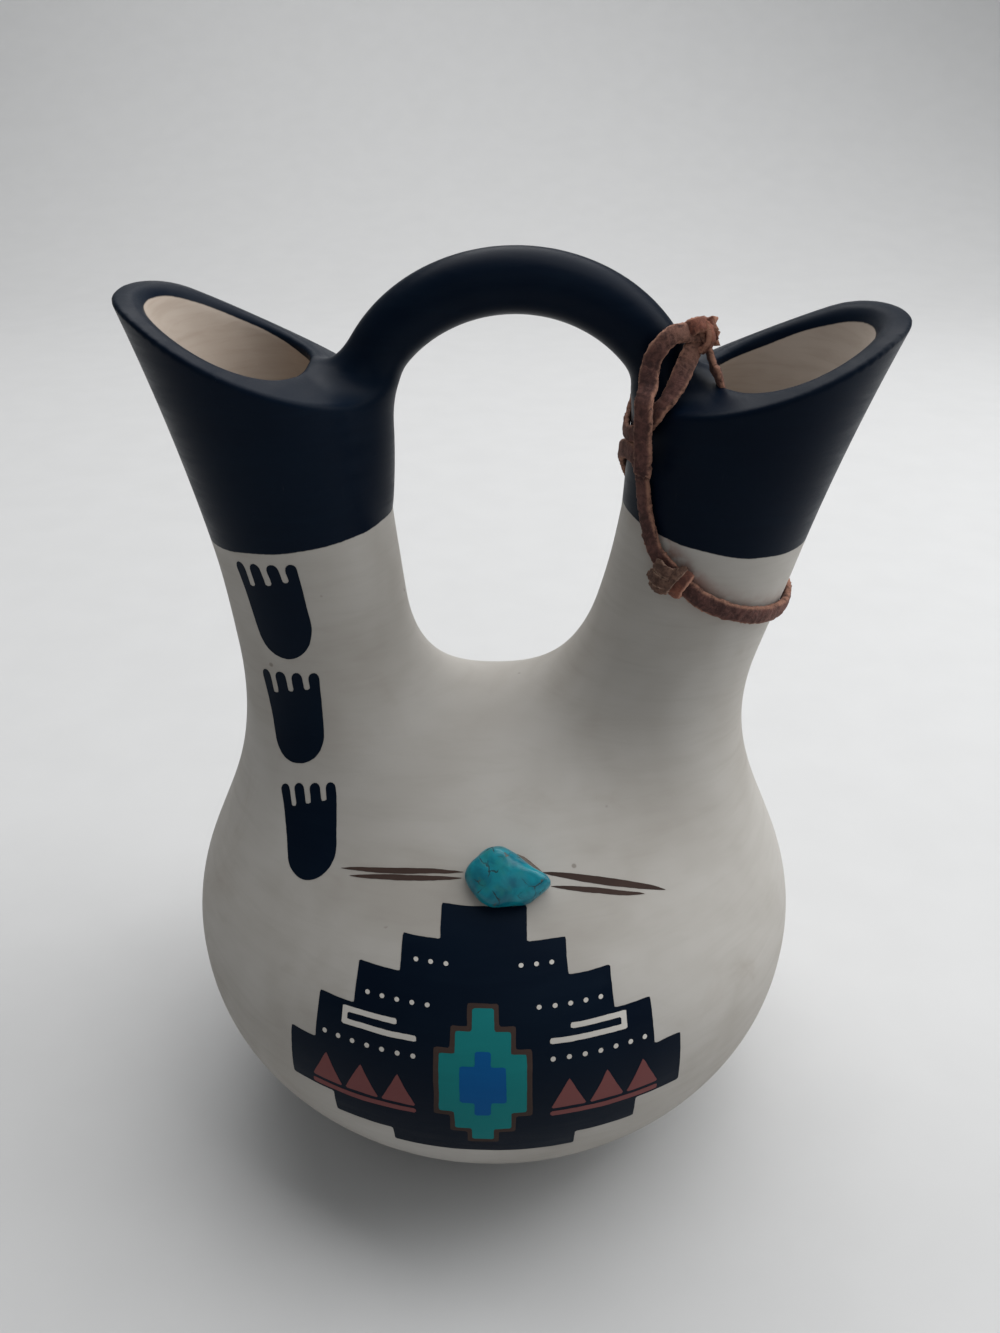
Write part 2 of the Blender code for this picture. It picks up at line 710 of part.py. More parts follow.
def make_lace(collection, cutters, finish):
    lower = route_points([LOWER_KNOT])[0]
    top = route_points([TOP_KNOT])[0]
    round_neck = [(*neck_place(turn, height), LACE_DIAMETER / 2 + 2 * GAP) for turn, height in NECK_ROUTE]
    neck = [lower, *route_points(round_neck), lower]
    make_strand("neck_lace", neck, [lower], collection, finish)
    make_strand("riser_lace", route_points(RISER_ROUTE), [top], collection, finish)
    make_strand("handle_lace", route_points(HANDLE_ROUTE), [top], collection, finish)
    make_strand("mouth_lace", route_points(MOUTH_ROUTE), [top], collection, finish)
    make_knot("lower_knot", lower, LOWER_TAILS, collection, cutters, finish)
    make_knot("top_knot", top, TOP_TAILS, collection, cutters, finish)


def main():
    clear_scene()
    collection = new_collection("wedding_vase")
    cutters = new_collection("cutters")
    finishes = {name: material(name) for name in COLOURS}
    make_belly(collection, cutters, finishes["slip"])
    make_spouts(collection, finishes["black_slip"])
    make_handle(collection, make_spout_cutters(cutters), finishes["black_slip"])
    frame = nugget_frame()
    make_bed(collection, frame, finishes["resin"])
    make_nugget(collection, frame, finishes["turquoise"])
    make_lace(collection, cutters, finishes["suede"])


main()
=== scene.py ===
"""Looks of the wedding vase: one skin of fired clay under painted slips, a turquoise nugget, and a suede
lace tied round the right spout, on a pale sweep under soft studio light.

Metres, in the part's own frame: +Z up, the decorated side towards -Y, the foot centred on the origin.
The clay is described by the same distance functions as in the part's source. The skin, the painted
shapes and the lace are all laid on it with them.
"""

import math

import bmesh
import bpy
import numpy as np
from mathutils import Matrix, Vector, noise
from mathutils.geometry import delaunay_2d_cdt


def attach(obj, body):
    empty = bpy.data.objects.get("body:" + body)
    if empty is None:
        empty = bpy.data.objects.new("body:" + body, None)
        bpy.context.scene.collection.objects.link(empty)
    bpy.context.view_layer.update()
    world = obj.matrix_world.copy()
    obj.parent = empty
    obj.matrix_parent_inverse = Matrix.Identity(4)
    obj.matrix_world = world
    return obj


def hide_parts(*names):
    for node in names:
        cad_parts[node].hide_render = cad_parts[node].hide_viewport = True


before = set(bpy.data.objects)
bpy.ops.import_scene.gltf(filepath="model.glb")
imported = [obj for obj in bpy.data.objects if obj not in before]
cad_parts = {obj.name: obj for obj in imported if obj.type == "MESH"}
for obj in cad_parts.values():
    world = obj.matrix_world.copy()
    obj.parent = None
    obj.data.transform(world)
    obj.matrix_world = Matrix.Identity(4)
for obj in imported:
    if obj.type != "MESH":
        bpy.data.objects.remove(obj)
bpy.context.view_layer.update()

BODY = "root"

# Camera, in the photograph's frame of 1000 by 1333 pixels
PHOTO_HEIGHT = 1333
FOCAL_PIXELS = 1250
SENSOR = 36.0  # millimetres, along the photograph's longer side
CAMERA_PLACE = (0.0014, -0.2491, 0.2380)
CAMERA_PITCH = math.radians(27.39)

# Clay: the driving dimensions of the part's source
BELLY_RADIUS = 0.0700
BELLY_LEVEL = 0.0480
BELLY_RISE = 0.0457
FOOT_RADIUS = 0.0330
WALL = 0.0050
FLOOR = 0.0065
NECK_RADIUS = 0.0185
NECK_SPREAD = 0.0384
NECK_TILT = math.radians(10.4)
NECK_DEPTH = 0.0450
SHOULDER_LEVEL = 0.1170
SHOULDER_FILLET = 0.0339
SADDLE_FILLET = 0.0500
MOUTH_FLARE = 0.0020
MOUTH_WIDENING = 0.08
FLARE_LENGTH = 0.0430
MOUTH_LEVEL = 0.1590
MOUTH_SLOPE = math.radians(23.3)
MOUTH_DIP = 0.0018
MOUTH_DIP_REACH = 0.0200
TIP_DROOP = 0.0027
TIP_DROOP_START = 0.0670
TIP_DROOP_REACH = 0.0100
LIP_ROUND = 0.0005  # crisper than the source's
INNER_ROUND = 0.0012
WEB_EDGE = 0.0408
WEB_SLANT = math.radians(30.0)
WEB_ROUND = 0.0140
ARCH_HALF_WIDTH = 0.0322
ARCH_ABOVE_MOUTH = 0.0050
ARCH_LEVEL = MOUTH_LEVEL + ARCH_ABOVE_MOUTH
ARCH_RISE = 0.0292
ARCH_SHIFT = 0.0013
GRIP_RADIUS = 0.0064
ROOT_RADIUS = 0.0056
ROOT_LENGTH = 0.0180
ROOT_WELD = 0.0085
LEAN = 0.0026
LEAN_TILT = math.radians(1.56)
LEAN_START = 0.0920
LEAN_END = 0.1390

# Fineness of the clay skin
SKIN_SPACING = 0.0010
SKIN_MARGIN = 0.004
LIP_REACH = 0.0022  # the skin is twice as fine this near to a lip's creases

# Lower edge of the black bands, on the leaned-back pot: level at the neck, slope outwards, and sag
BAND_X = 0.042
LEFT_BAND = (0.1435, 0.145, 0.0)
RIGHT_BAND = (0.1452, -0.120, 4.0)

# How far the black slip runs down inside the mouths
LEFT_RUN_OVER = 0.0019
LEFT_RUN_OVER_WEB = 0.0007
RIGHT_RUN_OVER = 0.0030

# Nugget
NUGGET_X = 0.0029
NUGGET_LEVEL = 0.0839
NUGGET_THICKNESS = 0.0056
NUGGET_BACK = 0.0011
NUGGET_OUTLINE = [
    (0.0086, -0.0014), (0.0079, 0.0000), (0.0051, 0.0017), (0.0011, 0.0048), (-0.0023, 0.0060), (-0.0063, 0.0040),
    (-0.0086, 0.0003), (-0.0071, -0.0031), (-0.0040, -0.0057), (0.0011, -0.0060), (0.0051, -0.0048), (0.0073, -0.0031),
]
NUGGET_RIDGE = ((-0.0006, 0.0035), (0.0050, 0.0008))  # its highest line, from the left shoulder to the right point

# Suede lace
LACE_WIDTH = 0.0034
LACE_THICKNESS = 0.0019
LACE_LIFT = 0.0011  # from the clay to the middle of the lace
RISER_WIDTH = 0.0037
HANDLE_LIFT = 0.0009
RUBBED = 0.45  # how far the suede is rubbed pale at the top knot
LACE_STEP = 0.0003
LACE_CORNERS = 24  # points round the lace
SUEDE_RIPPLE = 0.00016
NAP_LENGTH = 0.0004
NAP_FINENESS = 2600
RISER_FACING = np.array([-0.20, -0.80, 0.30])  # the hanging strap turns its flat side forwards
LOWER_KNOT_WAY = np.array([0.010, -0.003, -0.003])
MOUTH_FACING = (1.0, 0.10, 0.25)  # the strap in the mouth lies flat on its inner wall

# Painted shapes
PAINT_THICKNESS = 0.0003
PAINT_LIFT = 0.00005
PAINT_LAYER = 0.000035  # how much higher each next coat lies
PAINT_STEP = 0.0006
PAINT_GRID = 0.0016
HAND_WAVER = 0.00016
MEDALLION_X = -0.0020  # middle of the painted shape, to the left of the nugget
DOT_RADIUS = 0.00055
DOT_SPACING = 0.0033
DOT_ROWS = [(7, 0.0140, 0.0098), (5, 0.0115, 0.0212), (3, 0.0080, 0.0308)]  # count, first place, height

# Places of the lace, as in the part's source: x, y, height from ARCH_LEVEL, and how far off the clay.
# A flat lace lies closer to the clay than the source's round one.
LOWER_KNOT = (0.0321, -0.0207, -0.0234, 0.0014)
TOP_KNOT = (0.0368, -0.0044, 0.0214, 0.0038)

# Slanting turn round the neck: turn in degrees from the outer side, and height
NECK_ROUTE = [
    (106, -0.0263), (93, -0.0290), (72, -0.0316), (48, -0.0334), (22, -0.0341), (-8, -0.0335), (-40, -0.0314),
    (-72, -0.0282), (-105, -0.0230), (-135, -0.0160), (-160, -0.0086), (-180, -0.0040), (-195, -0.0028),
    (-205, -0.0045), (-210, -0.0073), (-213, -0.0100), (-217.5, -0.0133), (-223, -0.0166), (-230, -0.0201),
]
# Hanging strap, from its cut end up to the top knot
RISER_ROUTE = [
    (0.0252, -0.0152, -0.0046, 0.0036), (0.0250, -0.0149, -0.0012, 0.0037),
    (0.0248, -0.0144, 0.0024, 0.0039), (0.0248, -0.0142, 0.0060, 0.0040),
    (0.0249, -0.0139, 0.0094, 0.0040), (0.0254, -0.0122, 0.0128, 0.0035),
    (0.0266, -0.0102, 0.0162, 0.0027), (0.0285, -0.0098, 0.0194, 0.0029),
    (0.0318, -0.0083, 0.0218, 0.0032), TOP_KNOT,
]
# Turn round the root of the handle
HANDLE_ROUTE = [
    TOP_KNOT, (0.0338, -0.0090, 0.0164, 0.0023), (0.0304, -0.0124, 0.0118, 0.0019),
    (0.0277, -0.0126, 0.0072, 0.0012), (0.0252, -0.0095, 0.0032, 0.0010), (0.0238, -0.0050, 0.0007, 0.0009),
    (0.0238, 0.0010, 0.0003, 0.0009), (0.0258, 0.0066, 0.0030, 0.0011), (0.0294, 0.0092, 0.0076, 0.0013),
    (0.0325, 0.0085, 0.0132, 0.0020), (0.0350, 0.0035, 0.0190, 0.0031), TOP_KNOT,
]
# End that hangs over the rim and down inside the mouth
MOUTH_ROUTE = [
    TOP_KNOT, (0.0385, -0.0060, 0.0184, 0.0032), (0.0393, -0.0074, 0.0162, 0.0019),
    (0.0402, -0.0086, 0.0132, 0.0011), (0.0410, -0.0088, 0.0080, 0.0010), (0.0402, -0.0080, 0.0006, 0.0010),
    (0.0388, -0.0076, -0.0064, 0.0010), (0.0375, -0.0070, -0.0134, 0.0010), (0.0362, -0.0066, -0.0200, 0.0010),
]


# Distance functions of the clay, as in the part's source


def soft_min(a, b, reach):
    overlap = np.maximum(reach - np.abs(a - b), 0) / reach
    return np.minimum(a, b) - overlap * overlap * reach / 4


def soft_max(a, b, reach):
    return -soft_min(-a, -b, reach)


def ease(low, high, value):
    t = np.clip((value - low) / (high - low), 0, 1)
    return t * t * (3 - 2 * t)


def belly_distance(p):
    below = BELLY_LEVEL / math.sqrt(1 - (FOOT_RADIUS / BELLY_RADIUS) ** 2)
    up = p[..., 2] - BELLY_LEVEL
    height = np.where(up < 0, below, BELLY_RISE)
    wide = np.hypot(p[..., 0], p[..., 1])
    size = np.hypot(wide / BELLY_RADIUS, up / height)
    slope = np.hypot(wide / BELLY_RADIUS**2, up / height**2)
    return size * (size - 1) / np.maximum(slope, 1e-6)


def neck_distance(p, side):
    out = side * p[..., 0] - NECK_SPREAD
    up = p[..., 2] - SHOULDER_LEVEL
    along = out * math.sin(NECK_TILT) + up * math.cos(NECK_TILT)
    across = out * math.cos(NECK_TILT) - up * math.sin(NECK_TILT)
    rise = np.maximum(along, 0) / FLARE_LENGTH
    past_end = np.minimum(along + NECK_DEPTH, 0)
    round_ = np.sqrt(across**2 + (p[..., 1] / (1 + MOUTH_WIDENING * rise)) ** 2 + past_end**2)
    return round_ - (NECK_RADIUS + MOUTH_FLARE * rise**2)


def body_distance(p):
    necks = soft_min(neck_distance(p, 1), neck_distance(p, -1), SADDLE_FILLET)
    return soft_min(belly_distance(p), necks, SHOULDER_FILLET)


def rim_level(p):
    dip = MOUTH_DIP * (p[..., 1] / MOUTH_DIP_REACH) ** 2
    droop = TIP_DROOP * (np.maximum(np.abs(p[..., 0]) - TIP_DROOP_START, 0) / TIP_DROOP_REACH) ** 2
    return MOUTH_LEVEL + math.tan(MOUTH_SLOPE) * np.abs(p[..., 0]) - dip - droop


def handle_distance(p):
    out = np.abs(p[..., 0] - ARCH_SHIFT)
    up = p[..., 2] - ARCH_LEVEL
    above = np.maximum(up, 0)
    angle = np.arctan2(above / ARCH_RISE, out / ARCH_HALF_WIDTH)
    on_arch = np.hypot(out, above) - np.hypot(ARCH_HALF_WIDTH * np.cos(angle), ARCH_RISE * np.sin(angle))
    side = np.where(up > 0, on_arch, out - ARCH_HALF_WIDTH)
    on_arch_radius = ROOT_RADIUS + (GRIP_RADIUS - ROOT_RADIUS) * ease(0.0, 0.9, np.sin(angle))
    on_leg_radius = ROOT_RADIUS * np.sqrt(np.clip(1 - (up / ROOT_LENGTH) ** 2, 1e-4, 1))
    radius = np.where(up > 0, on_arch_radius, on_leg_radius)
    return np.maximum(np.hypot(side, p[..., 1]) - radius, -up - ROOT_LENGTH)


def hollow_distance(p):
    hollow = soft_max(body_distance(p) + WALL, FLOOR - p[..., 2], 4 * INNER_ROUND)
    web_top = MOUTH_LEVEL + math.tan(MOUTH_SLOPE) * WEB_EDGE
    web = (p[..., 2] - web_top) * math.sin(WEB_SLANT) - (np.abs(p[..., 0]) - WEB_EDGE) * math.cos(WEB_SLANT)
    return soft_max(hollow, web, WEB_ROUND)


def clay_distance(p):
    mouth = (p[..., 2] - rim_level(p)) * math.cos(MOUTH_SLOPE)
    filled = soft_max(body_distance(p), mouth, 2 * LIP_ROUND)
    filled = soft_min(filled, handle_distance(p), ROOT_WELD)
    return np.maximum(soft_max(filled, -hollow_distance(p), 2 * INNER_ROUND), -p[..., 2])


def outward(points):
    """The direction straight out of the clay at each point."""
    step = 0.0002
    slope = np.empty_like(points)
    for axis in range(3):
        offset = np.zeros(3)
        offset[axis] = step
        slope[:, axis] = clay_distance(points + offset) - clay_distance(points - offset)
    return slope / np.linalg.norm(slope, axis=1)[:, None]


def pressed(points, lifts, rounds=12):
    """The points moved straight in or out until each lies its lift away from the clay."""
    points = np.array(points, float)
    for _ in range(rounds):
        points -= outward(points) * (clay_distance(points) - lifts)[:, None] * 0.8
    return points


def leaned(points):
    """The points moved with the pot's lean to the right."""
    points = np.array(points, float)
    share = ease(LEAN_START, LEAN_END, points[:, 2])
    tilt = math.tan(LEAN_TILT)
    x = points[:, 0].copy()
    points[:, 0] += share * (LEAN + tilt * (points[:, 2] - LEAN_END))
    points[:, 2] -= share * tilt * x
    return points


# Scene helpers


def collection(name):
    found = bpy.data.collections.get(name)
    if not found:
        found = bpy.data.collections.new(name)
        bpy.context.scene.collection.children.link(found)
    return found


def place_piece(name, mesh, finish, slot, *nodes):
    """The mesh as a smooth-shaded piece of the vase, which stands for the named CAD nodes."""
    piece = bpy.data.objects.new(name, mesh)
    collection("vase").objects.link(piece)
    mesh.materials.append(finish)
    mesh.shade_smooth()
    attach(piece, BODY)
    if nodes:
        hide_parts(*nodes)
    return piece


def mesh_of(name, vertices, faces):
    mesh = bpy.data.meshes.new(name)
    mesh.from_pydata([tuple(v) for v in vertices], [], [tuple(int(i) for i in f) for f in faces])
    mesh.validate()
    return mesh


def set_field(mesh, name, values):
    """A number for each of the mesh's points, which its material reads by this name."""
    field = mesh.attributes.new(name, "FLOAT", "POINT")
    field.data.foreach_set("value", np.asarray(values, np.float32))


# Shader helpers


def add_node(tree, kind, inputs=None, **settings):
    """A node with these settings; an input may be a value or another node's socket."""
    made = tree.nodes.new(kind)
    for name, value in settings.items():
        setattr(made, name, value)
    for name, value in (inputs or {}).items():
        feed(tree, made.inputs[name], value)
    return made


def feed(tree, socket, value):
    if isinstance(value, bpy.types.NodeSocket):
        tree.links.new(value, socket)
    elif isinstance(value, tuple) and len(value) == 3 and socket.type == "RGBA":
        socket.default_value = (*value, 1)
    else:
        socket.default_value = value


def maths(tree, operation, a, b=0.0, clamp=False):
    made = add_node(tree, "ShaderNodeMath", {0: a, 1: b}, operation=operation, use_clamp=clamp)
    return made.outputs[0]


def mix(tree, share, a, b, blend="MIX"):
    made = add_node(tree, "ShaderNodeMix", {0: share, 6: a, 7: b}, data_type="RGBA", blend_type=blend)
    return made.outputs[2]


def mix_number(tree, share, a, b):
    return add_node(tree, "ShaderNodeMix", {0: share, 2: a, 3: b}, data_type="FLOAT").outputs[0]


def smooth_step(tree, value, low, high):
    made = add_node(
        tree, "ShaderNodeMapRange", {"Value": value, "From Min": low, "From Max": high}, interpolation_type="SMOOTHSTEP"
    )
    return made.outputs[0]


def cloud(tree, place, scale, detail=3.0, roughness=0.5, distortion=0.0):
    """Soft noise from 0 to 1."""
    wanted = {"Vector": place, "Scale": scale, "Detail": detail, "Roughness": roughness, "Distortion": distortion}
    return add_node(tree, "ShaderNodeTexNoise", wanted).outputs[0]


def stretched(tree, place, scale):
    """The place scaled by a different number along each axis."""
    made = add_node(tree, "ShaderNodeVectorMath", {0: place, 1: scale}, operation="MULTIPLY")
    return made.outputs[0]


def own_place(tree):
    return add_node(tree, "ShaderNodeTexCoord").outputs["Object"]


def field_value(tree, name):
    return add_node(tree, "ShaderNodeAttribute", attribute_name=name).outputs["Fac"]


def new_group(name, inputs, outputs):
    """A node group with named sockets, each given as its name, type and default value."""
    group = bpy.data.node_groups.new(name, "ShaderNodeTree")
    for socket, kind, default in inputs:
        made = group.interface.new_socket(socket, in_out="INPUT", socket_type=kind)
        if default is not None:
            made.default_value = default
    for socket, kind in outputs:
        group.interface.new_socket(socket, in_out="OUTPUT", socket_type=kind)
    start = group.nodes.new("NodeGroupInput").outputs
    end = group.nodes.new("NodeGroupOutput").inputs
    return group, start, end


def use_group(tree, group, **inputs):
    """The group placed in a material; a socket's name is written with _ for its spaces."""
    made = tree.nodes.new("ShaderNodeGroup")
    made.node_tree = group
    for name, value in inputs.items():
        feed(tree, made.inputs[name.replace("_", " ")], value)
    return made.outputs


def lay_out(tree):
    """Sets the nodes in columns, each to the left of what it feeds."""
    column = {node: 0 for node in tree.nodes}
    for _ in range(len(column)):
        moved = False
        for link in tree.links:
            wanted = column[link.to_node] + 1
            if column[link.from_node] < wanted:
                column[link.from_node] = wanted
                moved = True
        if not moved:
            break
    rows = {}
    for node, place in column.items():
        row = rows.get(place, 0)
        node.location = (-240 * place, -260 * row)
        rows[place] = row + 1


def new_material(name):
    made = bpy.data.materials.new(name)
    made.use_nodes = True
    return made, made.node_tree, made.node_tree.nodes["Principled BSDF"]


def finish_material(made):
    lay_out(made.node_tree)
    return made


def bump(tree, height, distance, strength=1.0, under=None):
    wanted = {"Height": height, "Distance": distance, "Strength": strength}
    if under:
        wanted["Normal"] = under
    return add_node(tree, "ShaderNodeBump", wanted).outputs[0]


# Effects that several materials share


def painted_edge_group():
    """A crisp edge drawn by hand where a field crosses zero: 1 where the field is above it."""
    group, start, end = new_group(
        "Painted edge",
        [
            ("Place", "NodeSocketVector", None),
            ("Field", "NodeSocketFloat", 0.0),
            ("Waver", "NodeSocketFloat", 0.0003),
            ("Softness", "NodeSocketFloat", 0.00012),
        ],
        [("Mask", "NodeSocketFloat")],
    )
    slow = maths(group, "SUBTRACT", cloud(group, start["Place"], 90.0, 1.0), 0.5)
    quick = maths(group, "SUBTRACT", cloud(group, start["Place"], 900.0, 2.0), 0.5)
    wander = maths(group, "ADD", maths(group, "MULTIPLY", slow, 2.4), maths(group, "MULTIPLY", quick, 0.5))
    moved = maths(group, "ADD", start["Field"], maths(group, "MULTIPLY", wander, start["Waver"]))
    share = maths(group, "DIVIDE", moved, start["Softness"])
    group.links.new(smooth_step(group, share, -1.0, 1.0), end["Mask"])
    lay_out(group)
    return group


def brushed_slip_group():
    """Slip brushed and rubbed onto clay: slow clouds of tone, level strokes, and fine grain."""
    group, start, end = new_group(
        "Brushed slip",
        [
            ("Place", "NodeSocketVector", None),
            ("Colour", "NodeSocketColor", (0.5, 0.5, 0.5, 1)),
            ("Deep colour", "NodeSocketColor", (0.4, 0.4, 0.4, 1)),
            ("Clouds", "NodeSocketFloat", 0.5),
            ("Strokes", "NodeSocketFloat", 0.3),
            ("Roughness", "NodeSocketFloat", 0.6),
        ],
        [("Colour", "NodeSocketColor"), ("Roughness", "NodeSocketFloat"), ("Height", "NodeSocketFloat")],
    )
    place = start["Place"]
    slow = cloud(group, place, 26.0, 3.0, 0.55, 0.4)
    streaks = cloud(group, stretched(group, place, (60.0, 60.0, 420.0)), 1.0, 4.0, 0.6, 0.6)
    grain = cloud(group, place, 2600.0, 2.0, 0.7)
    pits = add_node(group, "ShaderNodeTexVoronoi", {"Vector": place, "Scale": 520.0}).outputs["Distance"]
    pit = maths(group, "SUBTRACT", 1.0, smooth_step(group, pits, 0.03, 0.13))
    tone = maths(group, "MULTIPLY", smooth_step(group, slow, 0.32, 0.72), start["Clouds"])
    stroke_tone = maths(group, "MULTIPLY", smooth_step(group, streaks, 0.40, 0.75), start["Strokes"])
    share = maths(group, "ADD", tone, maths(group, "MULTIPLY", stroke_tone, 0.7), clamp=True)
    group.links.new(mix(group, share, start["Colour"], start["Deep colour"]), end["Colour"])
    rub = maths(group, "MULTIPLY", maths(group, "SUBTRACT", streaks, 0.5), 0.35)
    speckle = maths(group, "MULTIPLY", maths(group, "SUBTRACT", grain, 0.5), 0.18)
    uneven = maths(group, "ADD", rub, speckle)
    group.links.new(maths(group, "ADD", start["Roughness"], uneven, clamp=True), end["Roughness"])
    low = maths(group, "MULTIPLY", streaks, maths(group, "MULTIPLY", start["Strokes"], 0.9))
    fine = maths(group, "SUBTRACT", maths(group, "MULTIPLY", grain, 0.12), maths(group, "MULTIPLY", pit, 0.10))
    group.links.new(maths(group, "ADD", low, fine), end["Height"])
    lay_out(group)
    return group


def handling_wear_group():
    """Scuffs, specks and faint smudges: 1 where the surface is marked."""
    group, start, end = new_group(
        "Handling wear",
        [("Place", "NodeSocketVector", None), ("Amount", "NodeSocketFloat", 0.5)],
        [("Smudge", "NodeSocketFloat"), ("Speck", "NodeSocketFloat"), ("Scratch", "NodeSocketFloat")],
    )
    place = start["Place"]
    patch = smooth_step(group, cloud(group, place, 38.0, 4.0, 0.6, 0.8), 0.56, 0.80)
    group.links.new(maths(group, "MULTIPLY", patch, start["Amount"]), end["Smudge"])
    cells = add_node(group, "ShaderNodeTexVoronoi", {"Vector": place, "Scale": 150.0})
    small = maths(group, "SUBTRACT", 1.0, smooth_step(group, cells.outputs["Distance"], 0.05, 0.10))
    chosen = smooth_step(group, cloud(group, place, 210.0, 1.0), 0.62, 0.70)
    speck = maths(group, "MULTIPLY", small, chosen)
    group.links.new(maths(group, "MULTIPLY", speck, start["Amount"]), end["Speck"])
    lines = cloud(group, stretched(group, place, (900.0, 900.0, 70.0)), 1.0, 1.0, 0.5, 1.2)
    line = maths(group, "MULTIPLY", smooth_step(group, lines, 0.74, 0.80), patch)
    group.links.new(maths(group, "MULTIPLY", line, start["Amount"]), end["Scratch"])
    lay_out(group)
    return group


def suede_nap_group():
    """The short pile of suede: clumped fibres, rubbed and dark patches, and the paler cut edges."""
    group, start, end = new_group(
        "Suede nap",
        [
            ("Place", "NodeSocketVector", None),
            ("Edge", "NodeSocketFloat", 0.0),
            ("Colour", "NodeSocketColor", (0.2, 0.1, 0.08, 1)),
            ("Dark colour", "NodeSocketColor", (0.1, 0.05, 0.04, 1)),
            ("Pale colour", "NodeSocketColor", (0.4, 0.2, 0.15, 1)),
        ],
        [("Colour", "NodeSocketColor"), ("Height", "NodeSocketFloat")],
    )
    place = start["Place"]
    clumps = cloud(group, place, 900.0, 4.0, 0.65, 0.5)
    fibres = cloud(group, place, 4200.0, 2.0, 0.8)
    patches = cloud(group, place, 190.0, 2.0, 0.6)
    dark = smooth_step(group, maths(group, "ADD", maths(group, "MULTIPLY", clumps, 0.6), maths(group, "MULTIPLY", patches, 0.4)), 0.38, 0.62)
    base = mix(group, dark, start["Dark colour"], start["Colour"])
    tips = smooth_step(group, maths(group, "ADD", maths(group, "MULTIPLY", fibres, 0.5), maths(group, "MULTIPLY", clumps, 0.5)), 0.55, 0.78)
    napped = mix(group, maths(group, "MULTIPLY", tips, 0.45), base, start["Pale colour"])
    cut = maths(group, "MULTIPLY", start["Edge"], smooth_step(group, clumps, 0.25, 0.60))
    group.links.new(mix(group, cut, napped, start["Pale colour"]), end["Colour"])
    group.links.new(maths(group, "ADD", maths(group, "MULTIPLY", clumps, 0.7), maths(group, "MULTIPLY", fibres, 0.3)), end["Height"])
    lay_out(group)
    return group


EDGE_GROUP = painted_edge_group()
SLIP_GROUP = brushed_slip_group()
WEAR_GROUP = handling_wear_group()
NAP_GROUP = suede_nap_group()

WHITE_SLIP = ((0.470, 0.450, 0.420), (0.375, 0.350, 0.317))
BLACK_SLIP = ((0.0010, 0.0045, 0.0125), (0.0028, 0.0085, 0.0185))
BARE_CLAY = ((0.480, 0.410, 0.350), (0.370, 0.302, 0.248))
SMUDGE = (0.275, 0.228, 0.185)
SPECK = (0.090, 0.062, 0.045)
# Reddish brown beside the lace: partly a dye stain, partly painted shade and reflected light from the lace
SUEDE_STAIN_AND_SHADE = (0.215, 0.078, 0.055)
SLIP_SPECULAR = 0.06


def clay_material():
    """White slip outside, black slip above the bands' edge and over the lips, bare clay in the hollow."""
    made, tree, shader = new_material("slipped_clay")
    place = own_place(tree)
    white = use_group(
        tree, SLIP_GROUP, Place=place, Colour=WHITE_SLIP[0], Deep_colour=WHITE_SLIP[1],
        Clouds=0.90, Strokes=0.30, Roughness=0.62,
    )
    black = use_group(
        tree, SLIP_GROUP, Place=place, Colour=BLACK_SLIP[0], Deep_colour=BLACK_SLIP[1],
        Clouds=0.55, Strokes=0.45, Roughness=0.40,
    )
    bare = use_group(
        tree, SLIP_GROUP, Place=place, Colour=BARE_CLAY[0], Deep_colour=BARE_CLAY[1],
        Clouds=0.70, Strokes=0.60, Roughness=0.82,
    )
    wear = use_group(tree, WEAR_GROUP, Place=place, Amount=0.8)
    band = use_group(tree, EDGE_GROUP, Place=place, Field=field_value(tree, "band_height"), Waver=0.0004)["Mask"]
    inner = use_group(
        tree, EDGE_GROUP, Place=place, Field=field_value(tree, "bare_depth"), Waver=0.0003, Softness=0.00015
    )["Mask"]
    marked = mix(tree, maths(tree, "MULTIPLY", wear["Smudge"], 0.38), white["Colour"], SMUDGE)
    marked = mix(tree, maths(tree, "MULTIPLY", wear["Speck"], 0.6), marked, SPECK)
    marked = mix(tree, maths(tree, "MULTIPLY", wear["Scratch"], 0.35), marked, SMUDGE)
    # Beside the neck lace the slip is tinted reddish brown: partly a dye stain, partly painted shade and reflected
    # light from the lace
    blotch = smooth_step(tree, cloud(tree, place, 240.0, 3.0, 0.6), 0.30, 0.62)
    stained_and_shaded = maths(tree, "MULTIPLY", maths(tree, "MULTIPLY", field_value(tree, "lace_stain_and_shade"), blotch), 0.92)
    marked = mix(tree, stained_and_shaded, marked, SUEDE_STAIN_AND_SHADE)
    dusty = mix(tree, maths(tree, "MULTIPLY", wear["Scratch"], 0.10), black["Colour"], WHITE_SLIP[1])
    outside = mix(tree, band, marked, dusty)
    feed(tree, shader.inputs["Base Color"], mix(tree, inner, outside, bare["Colour"]))
    rough = mix_number(tree, band, white["Roughness"], black["Roughness"])
    feed(tree, shader.inputs["Roughness"], mix_number(tree, inner, rough, bare["Roughness"]))
    height = mix_number(tree, band, white["Height"], black["Height"])
    height = mix_number(tree, inner, height, bare["Height"])
    layer = maths(tree, "ADD", maths(tree, "MULTIPLY", band, 0.35), maths(tree, "MULTIPLY", inner, -0.35))
    feed(tree, shader.inputs["Normal"], bump(tree, maths(tree, "ADD", height, layer), 0.00011, 0.55))
    shader.inputs["Specular IOR Level"].default_value = SLIP_SPECULAR
    return finish_material(made)


